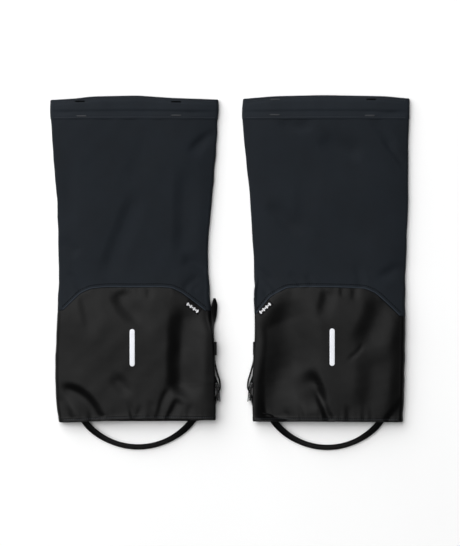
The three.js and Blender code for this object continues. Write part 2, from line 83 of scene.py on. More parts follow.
def catmull(points, n):
    """n + 1 evenly spaced points on a centripetal Catmull-Rom curve."""
    p = np.array(points, float)
    p = np.vstack([2 * p[0] - p[1], p, 2 * p[-1] - p[-2]])
    out = []
    for i in range(1, len(p) - 2):
        p0, p1, p2, p3 = p[i - 1 : i + 3]
        t0 = 0.0
        t1 = t0 + max(np.linalg.norm(p1 - p0), 1e-6) ** 0.5
        t2 = t1 + max(np.linalg.norm(p2 - p1), 1e-6) ** 0.5
        t3 = t2 + max(np.linalg.norm(p3 - p2), 1e-6) ** 0.5
        for t in np.linspace(t1, t2, 24, endpoint=False):
            a1 = (t1 - t) / (t1 - t0) * p0 + (t - t0) / (t1 - t0) * p1
            a2 = (t2 - t) / (t2 - t1) * p1 + (t - t1) / (t2 - t1) * p2
            a3 = (t3 - t) / (t3 - t2) * p2 + (t - t2) / (t3 - t2) * p3
            b1 = (t2 - t) / (t2 - t0) * a1 + (t - t0) / (t2 - t0) * a2
            b2 = (t3 - t) / (t3 - t1) * a2 + (t - t1) / (t3 - t1) * a3
            out.append((t2 - t) / (t2 - t1) * b1 + (t - t1) / (t2 - t1) * b2)
    out.append(p[-2])
    out = np.array(out)
    d = np.r_[0, np.cumsum(np.linalg.norm(np.diff(out, axis=0), axis=1))]
    s = np.linspace(0, d[-1], n + 1)
    return np.stack([np.interp(s, d, out[:, k]) for k in range(out.shape[1])], axis=1)


def grid_normals(p):
    du = np.gradient(p, axis=1)
    dv = np.gradient(p, axis=0)
    n = np.cross(du, dv)
    return n / np.maximum(np.linalg.norm(n, axis=2, keepdims=True), 1e-9)


def new_object(name, verts, faces, material, body=None, uv=None, flip=False, smooth_faces=True):
    """A mesh object from points in world millimetres. faces is a list or an array of corner indices."""
    verts = np.asarray(verts, float)
    faces = [list(f) for f in (faces.tolist() if isinstance(faces, np.ndarray) else faces)]
    used = np.zeros(len(verts), bool)
    for f in faces:
        used[f] = True
    where = np.cumsum(used) - 1
    faces = [[int(where[i]) for i in (reversed(f) if flip else f)] for f in faces]
    me = bpy.data.meshes.new(name)
    me.from_pydata((verts[used] * MM).tolist(), [], faces)
    if uv is not None:
        layer = me.uv_layers.new(name="cloth")
        loops = np.zeros(len(me.loops), np.int32)
        me.loops.foreach_get("vertex_index", loops)
        layer.data.foreach_set("uv", np.asarray(uv, float)[used][loops].astype(np.float32).ravel())
    me.update()
    me.validate()
    me.polygons.foreach_set("use_smooth", [smooth_faces] * len(me.polygons))
    ob = bpy.data.objects.new(name, me)
    bpy.context.scene.collection.objects.link(ob)
    me.materials.append(material)
    if body:
        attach(ob, body)
    return ob


def thick_grid(outer, inner, mask=None):
    """Points and quads of a closed sheet between two grids; mask says which cells are there."""
    r, c, _ = outer.shape
    if mask is None:
        mask = np.ones((r - 1, c - 1), bool)
    n = r * c
    idx = np.arange(n).reshape(r, c)
    i, j = np.nonzero(mask)
    a, b, d, e = idx[i, j], idx[i, j + 1], idx[i + 1, j + 1], idx[i + 1, j]
    faces = [np.stack([a, b, d, e], 1), np.stack([n + a, n + e, n + d, n + b], 1)]
    pad = np.pad(mask, 1)
    up = ~pad[i, j + 1]
    faces.append(np.stack([a, n + a, n + b, b], 1)[up])
    down = ~pad[i + 2, j + 1]
    faces.append(np.stack([e, d, n + d, n + e], 1)[down])
    left = ~pad[i + 1, j]
    faces.append(np.stack([a, e, n + e, n + a], 1)[left])
    right = ~pad[i + 1, j + 2]
    faces.append(np.stack([b, n + b, n + d, d], 1)[right])
    return np.vstack([outer.reshape(-1, 3), inner.reshape(-1, 3)]), np.vstack(faces)


# ---------------------------------------------------------------- materials
def shader(name):
    m = bpy.data.materials.new(name)
    m.use_nodes = True
    nt = m.node_tree
    for x in list(nt.nodes):
        nt.nodes.remove(x)
    out = nt.nodes.new("ShaderNodeOutputMaterial")
    b = nt.nodes.new("ShaderNodeBsdfPrincipled")
    nt.links.new(b.outputs[0], out.inputs[0])
    return m, nt, b


def node(nt, kind, **values):
    n = nt.nodes.new(kind)
    for k, v in values.items():
        if hasattr(n, k) and k not in n.inputs:
            setattr(n, k, v)
        else:
            n.inputs[k].default_value = v
    return n


def coordinates(nt, uv, scale):
    """Coordinates in tens of millimetres, from the cloth's own map or from the object's space."""
    if uv:
        src = node(nt, "ShaderNodeUVMap", uv_map="cloth")
        vec = src.outputs[0]
        factor = scale
    else:
        src = node(nt, "ShaderNodeTexCoord")
        vec = src.outputs["Object"]
        factor = 100.0 * scale
    m = node(nt, "ShaderNodeMapping")
    m.inputs["Scale"].default_value = (factor,) * 3
    nt.links.new(vec, m.inputs["Vector"])
    return m.outputs[0]


def math_node(nt, operation, a, b=None):
    m = node(nt, "ShaderNodeMath", operation=operation)
    for k, v in enumerate((a, b)):
        if v is None:
            continue
        if isinstance(v, (int, float)):
            m.inputs[k].default_value = v
        else:
            nt.links.new(v, m.inputs[k])
    return m.outputs[0]


def ramp(nt, value, stops):
    r = node(nt, "ShaderNodeValToRGB")
    e = r.color_ramp.elements
    e[0].position, e[0].color = stops[0][0], (*stops[0][1], 1)
    e[1].position, e[1].color = stops[-1][0], (*stops[-1][1], 1)
    for p, c in stops[1:-1]:
        x = e.new(p)
        x.color = (*c, 1)
    nt.links.new(value, r.inputs[0])
    return r.outputs[0]


def shade(c, f):
    return tuple(min(1.0, x * f) for x in c)


def fabric(name, colour, rough, pitch=0.062, weave=0.25, mottle=0.12, specular=0.3, sheen=0.0,
           sheen_rough=0.5, uv=True, twill=False, rough_spread=0.06, coat=0.0, coat_rough=0.3, grain=0.3):
    """Woven cloth: two sets of threads in the bump, thread colour that varies, faint mottling and handling marks."""
    m, nt, b = shader(name)
    cloth = coordinates(nt, uv, 1.0)
    k = 0.314 / pitch
    warp = node(nt, "ShaderNodeTexWave", wave_type="BANDS", bands_direction="X", Scale=k)
    warp.inputs["Distortion"].default_value = 0.6
    warp.inputs["Detail Scale"].default_value = 0.7
    weft = node(nt, "ShaderNodeTexWave", wave_type="BANDS", bands_direction="DIAGONAL" if twill else "Y", Scale=k * (0.7 if twill else 1))
    weft.inputs["Distortion"].default_value = 0.6
    weft.inputs["Detail Scale"].default_value = 0.7
    for w in (warp, weft):
        nt.links.new(cloth, w.inputs["Vector"])
    threads = math_node(nt, "MAXIMUM", warp.outputs["Fac"], weft.outputs["Fac"])
    fine = node(nt, "ShaderNodeTexNoise", Scale=9.0, Detail=3.0, Roughness=0.6)
    broad = node(nt, "ShaderNodeTexNoise", Scale=0.22, Detail=4.0, Roughness=0.55)
    nt.links.new(cloth, fine.inputs["Vector"])
    nt.links.new(cloth, broad.inputs["Vector"])
    mixed = math_node(nt, "MULTIPLY_ADD", fine.outputs["Fac"], grain)
    mixed.node.inputs[2].default_value = 0.0
    total = math_node(nt, "ADD", mixed, math_node(nt, "MULTIPLY", broad.outputs["Fac"], 1 - grain))
    total = math_node(nt, "ADD", math_node(nt, "MULTIPLY", threads, 0.10), total)
    col = ramp(nt, total, [(0.34, shade(colour, 1 - mottle)), (0.56, colour), (0.78, shade(colour, 1 + mottle))])
    nt.links.new(col, b.inputs["Base Color"])
    wear = math_node(nt, "MULTIPLY_ADD", broad.outputs["Fac"], rough_spread * 2)
    wear.node.inputs[2].default_value = rough - rough_spread
    nt.links.new(wear, b.inputs["Roughness"])
    b.inputs["Specular IOR Level"].default_value = specular
    b.inputs["Sheen Weight"].default_value = sheen
    b.inputs["Sheen Roughness"].default_value = sheen_rough
    b.inputs["Coat Weight"].default_value = coat
    b.inputs["Coat Roughness"].default_value = coat_rough
    height = math_node(nt, "ADD", math_node(nt, "MULTIPLY", threads, 0.7), math_node(nt, "MULTIPLY", fine.outputs["Fac"], 0.5))
    bp = node(nt, "ShaderNodeBump", Strength=weave, Distance=0.00012)
    nt.links.new(height, bp.inputs["Height"])
    nt.links.new(bp.outputs[0], b.inputs["Normal"])
    return m


def moulded(name, colour, rough, spread=0.08, metallic=0.0, grain=2.2, depth=0.00005, specular=0.5, scratch=True, mottle=0.15):
    """Moulded plastic or metal: fine grain, scuffs and a colour that isn't quite even."""
    m, nt, b = shader(name)
    co = coordinates(nt, False, 1.0)
    n1 = node(nt, "ShaderNodeTexNoise", Scale=grain * 4, Detail=4.0, Roughness=0.6)
    n2 = node(nt, "ShaderNodeTexNoise", Scale=0.5, Detail=3.0, Roughness=0.5)
    nt.links.new(co, n1.inputs["Vector"])
    nt.links.new(co, n2.inputs["Vector"])
    col = ramp(nt, n2.outputs["Fac"], [(0.3, shade(colour, 1 - mottle)), (0.7, shade(colour, 1 + mottle))])
    nt.links.new(col, b.inputs["Base Color"])
    height = n1.outputs["Fac"]
    value = n2.outputs["Fac"]
    if scratch:
        st = node(nt, "ShaderNodeMapping")
        st.inputs["Scale"].default_value = (900, 90, 400)
        tc = node(nt, "ShaderNodeTexCoord")
        nt.links.new(tc.outputs["Object"], st.inputs["Vector"])
        n3 = node(nt, "ShaderNodeTexNoise", Scale=1.0, Detail=2.0)
        nt.links.new(st.outputs[0], n3.inputs["Vector"])
        value = math_node(nt, "ADD", math_node(nt, "MULTIPLY", value, 0.5), math_node(nt, "MULTIPLY", n3.outputs["Fac"], 0.5))
        height = math_node(nt, "ADD", height, math_node(nt, "MULTIPLY", n3.outputs["Fac"], 0.4))
    r = math_node(nt, "MULTIPLY_ADD", value, 2 * spread)
    r.node.inputs[2].default_value = rough - spread
    nt.links.new(r, b.inputs["Roughness"])
    b.inputs["Metallic"].default_value = metallic
    b.inputs["Specular IOR Level"].default_value = specular
    bp = node(nt, "ShaderNodeBump", Strength=0.5, Distance=depth)
    nt.links.new(height, bp.inputs["Height"])
    nt.links.new(bp.outputs[0], b.inputs["Normal"])
    return m


NAVY = (0.0080, 0.0106, 0.0142)
SATIN = (0.0017, 0.00175, 0.0018)
M_UPPER = fabric("upper_cloth", NAVY, 0.74, specular=0.12, weave=0.5, mottle=0.34, grain=0.62)
# the casing is the same cloth as the upper panel; its colour is made 1.24 times lighter as painted light
M_CASING_PAINTED_LIGHT = fabric("casing_cloth_painted_light", shade(NAVY, 1.24), 0.74, specular=0.14, weave=0.5, mottle=0.34, grain=0.62)
M_BOOT = fabric("coated_cloth", SATIN, 0.42, pitch=0.05, weave=0.22, mottle=0.16, specular=0.125, grain=0.45, rough_spread=0.04)
M_PIPING = fabric("piping_cloth", shade(NAVY, 2.3), 0.7, specular=0.15, pitch=0.05, weave=0.3, mottle=0.12, uv=False)
M_ELASTIC = fabric("elastic", (0.004, 0.004, 0.0045), 0.85, specular=0.12, pitch=0.12, weave=0.8, mottle=0.2, uv=False)
M_WEBBING = fabric("webbing", (0.0032, 0.0032, 0.0034), 0.72, specular=0.12, pitch=0.11, weave=0.9, mottle=0.25, uv=False, twill=True)
M_HOOK = fabric("hook_tape", (0.005, 0.005, 0.0055), 0.6, specular=0.2, pitch=0.1, weave=0.8, mottle=0.2, uv=False)
M_LOOP = fabric("loop_tape", (0.008, 0.008, 0.009), 0.95, specular=0.1, pitch=0.14, weave=1.0, mottle=0.35, uv=False)
M_TPU = moulded("strap_tpu", (0.0020, 0.0020, 0.0021), 0.48, spread=0.08, specular=0.06)
M_BUCKLE = moulded("buckle_plastic", (0.0020, 0.0020, 0.0022), 0.36, specular=0.12)
M_SNAP = moulded("snap_metal", (0.045, 0.045, 0.048), 0.34, metallic=0.9)
M_PIN = moulded("pin_black_steel", (0.030, 0.030, 0.032), 0.38, metallic=0.9)
M_STEEL = moulded("steel", (0.42, 0.42, 0.43), 0.28, metallic=1.0)
M_THREAD = fabric("thread_dark", (0.0014, 0.0017, 0.0022), 0.7, specular=0.04, pitch=0.03, weave=0.8, mottle=0.3, uv=False)
M_THREAD_MID = fabric("thread_mid", (0.040, 0.044, 0.052), 0.7, specular=0.12, pitch=0.03, weave=0.8, mottle=0.3, uv=False)
# a paler copy of the tack thread: painted highlight where light catches the bar tacks
M_TACK_PAINTED_HIGHLIGHT = fabric("tack_thread_painted_highlight", (0.044, 0.047, 0.052), 0.7, specular=0.15, pitch=0.03, weave=0.8, mottle=0.3, uv=False)
M_LABEL = fabric("label_black", (0.002, 0.002, 0.0022), 0.6, specular=0.1, pitch=0.045, weave=0.6, mottle=0.2, uv=False)
M_LABEL_MARK = fabric("label_thread", (0.62, 0.62, 0.64), 0.6, pitch=0.045, weave=0.6, mottle=0.12, uv=False)


def reflective(name):
    """Retro-reflective film: pale, faintly silver, with the fine cell pattern of glass beads."""
    m, nt, b = shader(name)
    co = coordinates(nt, True, 1.0)
    v = node(nt, "ShaderNodeTexVoronoi", Scale=11.0)
    n = node(nt, "ShaderNodeTexNoise", Scale=0.9, Detail=3.0)
    nt.links.new(co, v.inputs["Vector"])
    nt.links.new(co, n.inputs["Vector"])
    t = math_node(nt, "ADD", math_node(nt, "MULTIPLY", v.outputs["Distance"], 0.35), math_node(nt, "MULTIPLY", n.outputs["Fac"], 0.65))
    nt.links.new(ramp(nt, t, [(0.2, (0.70, 0.72, 0.765)), (0.7, (0.79, 0.80, 0.845))]), b.inputs["Base Color"])
    b.inputs["Metallic"].default_value = 0.0
    r = math_node(nt, "MULTIPLY_ADD", n.outputs["Fac"], 0.12)
    r.node.inputs[2].default_value = 0.36
    nt.links.new(r, b.inputs["Roughness"])
    bp = node(nt, "ShaderNodeBump", Strength=0.25, Distance=0.00004)
    nt.links.new(v.outputs["Distance"], bp.inputs["Height"])
    nt.links.new(bp.outputs[0], b.inputs["Normal"])
    return m


M_REFLECT = reflective("reflective_film")

# ---------------------------------------------------------------- the two gaiters
FABRIC = 0.9
CASING_Y, HEM_TOP = 206.2, -189.6
HINGE_IN, HINGE_OUT = 88.0, 80.0
SPLIT_IN, SPLIT_OUT = -91.0, 83.0
BACK_TOP, BACK_SEAM, HEM_Y = 229.0, -60.0, -198.5
OVERLAP, FLAP_OUTER_Z = 20.0, 3.5
SNAP_Y = (218.0, -184.0)
STRAP_W, STRAP_T, STRAP_LEAN = 10.0, 2.2, 40.0
PIVOT_Y, MID_Z = -205.5, 6.85
KEEPER_Y = (-110.0, -92.5)
ROWS_Y = [231.6, 217.7, 201.6, 177.6, 150.8, 124.1, 97.3, 70.6, 43.9, 17.1, -9.6, -36.4, -63.1, -89.8, -116.6, -143.3, -170.1, -183.4, -198.5]


class G:
    pass


def gaiter(name, side, cx, inner, outer, wall, wall_in, arch, top, arc, strip, label, tip, hem, tail_over):
    g = G()
    g.name, g.s, g.cx = name, side, cx
    g.t_in = gauss_table(ROWS_Y, inner, -215, 250, 5)
    g.t_out = gauss_table(ROWS_Y, outer, -215, 250, 5)
    g.t_wall = (np.array(ROWS_Y[::-1]), np.array(wall[::-1]))
    g.t_wall_in = (np.array(ROWS_Y[::-1]), np.array(wall_in[::-1]))
    g.arch, g.top, g.arc, g.strip, g.label, g.tip, g.hem, g.tail_over = arch, top, arc, strip, label, tip, hem, tail_over
    ax = np.array([p[0] for p in arch], float)
    ay = np.array([p[1] for p in arch], float)
    g.t_arch = gauss_table(ax, ay, -125, 125, 2.5)
    g.t_top = gauss_table([p[0] for p in top], [p[1] for p in top], -125, 125, 5)
    g.t_hem = gauss_table([p[0] for p in hem], [p[1] for p in hem], -125, 125, 8)
    return g


LEFT = gaiter(
    "left", 1, -128.35,
    [111.4, 111.9, 111.0, 109.6, 108.0, 105.6, 102.9, 102.3, 101.6, 101.2, 100.3, 102.1, 102.9, 104.3, 105.4, 105.6, 104.3, 102.9, 100.3],
    [112.7, 112.8, 111.5, 110.7, 108.6, 106.7, 104.3, 101.6, 99.3, 98.9, 100.0, 102.0, 105.0, 106.6, 107.5, 109.1, 109.6, 109.6, 108.6],
    [112.7, 112.2, 111.5, 110.7, 108.6, 106.7, 104.3, 101.6, 99.3, 98.9, 99.6, 100.6, 103.2, 104.6, 105.8, 107.2, 107.6, 107.6, 107.0],
    [111.2, 111.2, 111.0, 109.6, 108.0, 105.6, 102.9, 102.3, 101.6, 101.2, 100.3, 102.1, 102.9, 104.3, 105.4, 105.6, 104.3, 102.9, 100.3],
    [(-102.4, -55.4), (-71.9, -25.8), (-57.6, -19.5), (-36.1, -17.4), (-0.4, -17.8), (35.4, -17.4), (50.7, -18.6), (64.2, -24.9), (85.6, -41.0), (105.4, -57.1)],
    [(-111.2, 230.5), (-69.5, 233.0), (-52.4, 235.6), (3.9, 236.9), (44.9, 233.6), (113.1, 231.3)],
    (5.3, -140.0, 93.0), (-2.1, -75.0, -125.1), (78.5, -46.4, -37),
    [(105.2, -70), (106.6, -56), (107.4, -45), (107.6, -34)],
    [(-110, -200.2), (-75, -199.4), (-30, -196.8), (0, -195.9), (60, -196.1), (110, -197.2)],
    (-58, -84),
)
RIGHT = gaiter(
    "right", -1, 128.35,
    [111.6, 111.4, 111.0, 110.7, 110.0, 110.4, 110.0, 109.4, 108.3, 107.2, 106.3, 105.9, 106.7, 105.9, 105.6, 105.4, 104.3, 103.4, 102.7],
    [110.3, 111.8, 111.6, 109.6, 107.0, 103.5, 101.6, 100.0, 97.9, 96.5, 96.3, 96.3, 95.2, 94.9, 97.2, 98.7, 98.9, 98.5, 97.6],
    [111.2, 111.4, 111.6, 109.6, 107.0, 103.5, 101.6, 100.0, 97.9, 96.5, 95.0, 93.6, 92.6, 92.6, 94.6, 96.6, 97.2, 97.2, 96.6],
    [111.6, 111.4, 111.0, 110.7, 110.0, 110.4, 110.0, 109.4, 108.3, 107.2, 106.3, 105.9, 106.7, 105.9, 105.6, 105.4, 104.3, 103.4, 102.7],
    [(-108.0, -65.2), (-86.5, -43.7), (-66.8, -25.7), (-52.5, -19.5), (-32.8, -18.4), (-4.0, -17.6), (28.1, -17.4), (53.2, -18.6), (74.6, -30.2), (95.2, -55.4)],
    [(-112.0, 232.2), (-74.6, 236.0), (2.1, 237.4), (61.9, 236.0), (104.0, 232.2), (110.5, 228.0)],
    (-1.8, -143.2, 90.5), (-8.0, -74.2, -124.3), (81.6, -47.1, -42),
    [(94.2, -70), (94.4, -56), (95.0, -45), (95.6, -34)],
    [(-105, -199.6), (-40, -199.0), (20, -198.6), (100, -198.6)],
    (-4, -28),
)


def T(table, v):
    return np.interp(v, table[0], table[1])


def wall(g, y):
    return float(np.interp(y, *g.t_wall))


def wall_in(g, y):
    return float(np.interp(y, *g.t_wall_in))


def P(px, py):
    """A place in the picture, as world millimetres."""
    return ((px - 230) * 1.337, (272.8 - py) * 1.337)


# Folds: each is a valley along a line, with a side it falls from and a side it rises to, in millimetres.
def valley(points, depth, wl, wr, taper=(0.25, 0.25), groove=False):
    pts = np.array([P(*p) for p in points])
    return dict(p=catmull(pts, 40), depth=depth, wl=wl, wr=wr, taper=taper, groove=groove)


FOLDS = {
    "left_boot": [
        valley([(187, 292), (185, 312), (183, 335), (182, 360), (181, 384), (176, 398)], 6.2, 23, 34, (0.42, 0.14)),
        valley([(171, 386), (164, 398), (157.5, 419)], 1.7, 6, 11, (0.3, 0.03)),
        valley([(181, 397), (174, 407), (167, 420)], 1.9, 6, 12, (0.3, 0.03)),
        valley([(57, 389), (73, 391), (87, 400), (100, 420)], 3.9, 24, 11, (0.2, 0.03)),
        valley([(84, 291), (87, 312), (92, 345)], 1.9, 13, 22, (0.2, 0.55)),
        valley([(119, 289), (126, 307), (142, 321), (152, 334)], 2.5, 18, 24, (0.15, 0.55)),
        valley([(149, 288), (149, 301)], 0.9, 5, 8, (0.1, 0.6)),
        valley([(137, 288), (139, 298)], 0.55, 3.5, 6, (0.1, 0.6)),
        valley([(127, 400), (131, 409), (134.5, 420)], 1.0, 5, 6, (0.5, 0.03)),
        valley([(143, 403), (139, 411), (136, 420)], 0.9, 4, 6, (0.5, 0.03)),
        valley([(108, 376), (122, 385), (128, 399)], 1.7, 15, 14, (0.4, 0.4)),
        valley([(57, 394), (65, 408), (70, 421)], 1.9, 12, 10, (0.3, 0.05)),
        valley([(191, 402), (189, 411), (188, 421)], 0.8, 4, 7, (0.4, 0.05)),
        valley([(150, 398), (153, 409), (153, 421)], 0.7, 7, 8, (0.4, 0.05)),
    ],
    "left_upper": [
        valley([(216, 131), (201, 141), (186, 156)], 2.6, 8, 16, (0.05, 0.4)),
        valley([(180, 262), (194, 263), (208, 272)], 2.7, 8, 16, (0.3, 0.15)),
        valley([(184, 290), (192, 282), (203, 276)], 1.8, 5, 8, (0.1, 0.4)),
        valley([(192, 291), (199, 286), (207, 283)], 1.3, 4, 6, (0.1, 0.5)),
        valley([(64, 272), (73, 279), (82, 291)], 1.9, 5, 9, (0.3, 0.05)),
        valley([(58, 280), (65, 288), (71, 298)], 1.4, 5, 8, (0.3, 0.05)),
        valley([(58, 240), (69, 248), (79, 257)], 2.0, 11, 16, (0.3, 0.3)),
        valley([(186, 160), (184, 200), (182, 262)], 2.6, 17, 26, (0.3, 0.2)),
        valley([(140, 186), (121, 232), (102, 282)], 2.2, 15, 24, (0.3, 0.25)),
        valley([(62, 140), (68, 190), (62, 235)], 1.4, 17, 20, (0.4, 0.4)),
        valley([(150, 130), (140, 160), (120, 190)], 0.9, 16, 24, (0.4, 0.4)),
    ],
    "right_upper": [
        valley([(275, 121), (296, 128), (317, 125)], 2.0, 9, 18, (0.3, 0.3)),
        valley([(316, 139), (340, 149), (364, 157)], 2.6, 15, 24, (0.3, 0.3)),
        valley([(380, 138), (393, 152), (406, 169)], 2.1, 3.5, 5, (0.3, 0.1)),
        valley([(370, 116), (384, 133), (396, 152)], 1.5, 11, 12, (0.3, 0.3)),
        valley([(264, 203), (281, 217), (300, 238)], 2.6, 12, 20, (0.35, 0.35)),
        valley([(251, 266), (263, 275), (277, 292)], 2.8, 6, 10, (0.12, 0.05)),
        valley([(252, 280), (261, 286), (268, 296)], 2.0, 5, 8, (0.2, 0.05)),
        valley([(411, 266), (392, 270), (374, 281)], 2.3, 8, 14, (0.1, 0.4)),
        valley([(287, 273), (296, 279), (301, 290)], 1.2, 5, 8, (0.3, 0.15)),
        valley([(305, 274), (310, 281), (312, 290)], 1.0, 5, 7, (0.3, 0.15)),
        valley([(355, 262), (359, 275), (361, 291)], 1.2, 9, 12, (0.4, 0.15)),
        valley([(300, 165), (304, 205), (300, 250)], 1.2, 18, 26, (0.4, 0.4)),
    ],
    "right_boot": [
        valley([(270, 300), (285, 320), (291, 342), (290, 362), (283, 380), (277, 398), (274, 421)], 7.0, 38, 44, (0.22, 0.03)),
        valley([(262, 312), (268, 342), (264, 372), (260, 400), (262, 421)], 2.6, 15, 34, (0.2, 0.03)),
        valley([(307, 368), (314, 384), (319, 396), (324, 408)], 6.0, 36, 13, (0.4, 0.42)),
        valley([(316, 388), (322, 402), (330, 421)], 2.6, 8, 8, (0.4, 0.03)),
        valley([(386, 292), (376, 322), (359, 356)], 3.9, 26, 32, (0.3, 0.4)),
        valley([(364, 343), (357, 352), (346, 361)], 1.0, 3.5, 5, (0.3, 0.3)),
        valley([(374, 346), (371, 384), (364, 418)], 2.3, 24, 30, (0.35, 0.3)),
        valley([(328, 289), (325, 303), (319, 324)], 1.7, 12, 16, (0.2, 0.6)),
        valley([(355, 288), (353, 303)], 1.0, 6, 9, (0.1, 0.7)),
        valley([(341, 288), (342, 299)], 0.8, 4, 7, (0.1, 0.6)),
        valley([(407, 396), (398, 408), (387, 422)], 2.8, 8, 20, (0.25, 0.03)),
        valley([(295, 402), (300, 411), (302, 422)], 1.0, 5, 6, (0.5, 0.03)),
        valley([(345, 403), (348, 411), (349, 422)], 0.9, 4, 6, (0.5, 0.03)),
        valley([(284, 408), (286, 414), (287, 422)], 0.9, 5, 5, (0.5, 0.03)),
        valley([(262, 398), (266, 409), (268, 422)], 1.0, 6, 5, (0.4, 0.03)),
    ],
}


def fold_field(name, X, Y):
    """The height of the folds over points of the world, in mm."""
    out = np.zeros(X.shape)
    flat = np.stack([X.ravel(), Y.ravel()], 1)
    for f in FOLDS[name]:
        p = f["p"]
        reach = max(f["wl"], f["wr"]) + 4
        lo, hi = p.min(0) - reach, p.max(0) + reach
        near = np.nonzero(((flat > lo) & (flat < hi)).all(1))[0]
        if not len(near):
            continue
        q = flat[near]
        a, b = p[:-1], p[1:]
        ab = b - a
        t = np.clip(((q[:, None] - a) * ab).sum(2) / (ab * ab).sum(1), 0, 1)
        c = a + t[..., None] * ab
        d = np.linalg.norm(q[:, None] - c, axis=2)
        k = d.argmin(1)
        i = np.arange(len(q))
        dist = d[i, k]
        ts = (k + t[i, k]) / len(a)
        away = q - a[k]
        sgn = -(ab[k, 0] * away[:, 1] - ab[k, 1] * away[:, 0])
        # travelling down the picture, the picture's right side is the positive one
        s = dist * np.sign(-sgn)
        left = 1 - smooth(0, f["wl"], -s)
        right = 1 - smooth(0, f["wr"], s)
        prof = np.where(s < 0, left, right)
        e0, e1 = f["taper"]
        ends = smooth(0, max(e0, 1e-3), ts) * (1 - smooth(1 - max(e1, 1e-3), 1, ts))
        v = np.zeros(len(flat))
        v[near] = -f["depth"] * prof * ends
        out += v.reshape(X.shape)
    return out


def blur(field, n):
    for _ in range(n):
        p = np.pad(field, 1, mode="edge")
        field = (p[1:-1, 1:-1] * 4 + p[:-2, 1:-1] + p[2:, 1:-1] + p[1:-1, :-2] + p[1:-1, 2:]) / 8
    return field


def radii(y):
    boot = smooth(15, -70, y)
    return 4.5 + 2.5 * boot, 13.5 + 4.5 * boot + 0.3 + 0.7 * boot


def over(g, y):
    return smooth(g.tail_over[0], g.tail_over[1], y)


def silhouette(g, y):
    out = T(g.t_out, y) + 0.25 * wave_noise(3 if g.s > 0 else 4, y, 0 * y, 34)
    inn = T(g.t_in, y) + 0.25 * wave_noise(5 if g.s > 0 else 6, y, 0 * y, 30)
    if g.s > 0:
        inn = inn - 0.3 * bump(y, 98, 6)
    # by the buckle the fold stays inside the frame
    w = np.interp(y, *g.t_wall)
    near = smooth(-142, -149, y) * (1 - smooth(-174, -180, y))
    out = np.minimum(out, w + 1.1 + (1 - near) * 9)
    return inn, out


def front_range(g, y):
    r, _ = radii(y)
    inn, out = silhouette(g, y)
    o = over(g, y)
    return -(inn - r), (out - r) * (1 - o) + (out - 1.9) * o


def base_z(g, f, y):
    r, crown = radii(y)
    edge = 2.7 * over(g, y)
    return 2 * r + (crown - 2 * r) * (1 - f**4) + edge * smooth(0.45, 1, f)


def arc_out(g, y, n):
    """The outer fold from the back to the front, n points for each y: [len(y), n, 2]."""
    r, _ = radii(y)
    _, out = silhouette(g, y)
    w = np.interp(y, *g.t_wall)
    t = np.linspace(-0.5 * math.pi, 0.5 * math.pi, n)
    a = out - r
    plain = np.stack([a[:, None] + r[:, None] * np.cos(t), r[:, None] * (1 + np.sin(t))], 2)
    o = over(g, y)
    if o.max() <= 0:
        return plain
    rows = []
    for i in range(len(y)):
        if o[i] <= 0:
            rows.append(plain[i])
            continue
        W, S, R = w[i], out[i], r[i]
        pts = [(W - R, 0), (W - 0.5 * R, 0.134 * R), (W - 0.13 * R, 0.5 * R), (W - 0.05, R), (W - 0.1, 10.2), (W, 12.6), (S - 0.9, 14.0), (S, 15.0), (S - 0.55, 16.1), (S - 1.9, 16.7)]
        q = catmull(pts, n - 1)
        # spend points evenly in each half, as the plain fold does
        rows.append(plain[i] * (1 - o[i]) + q * o[i])
    return np.array(rows)


N_ARC, N_FRONT, N_BACK = 17, 170, 7


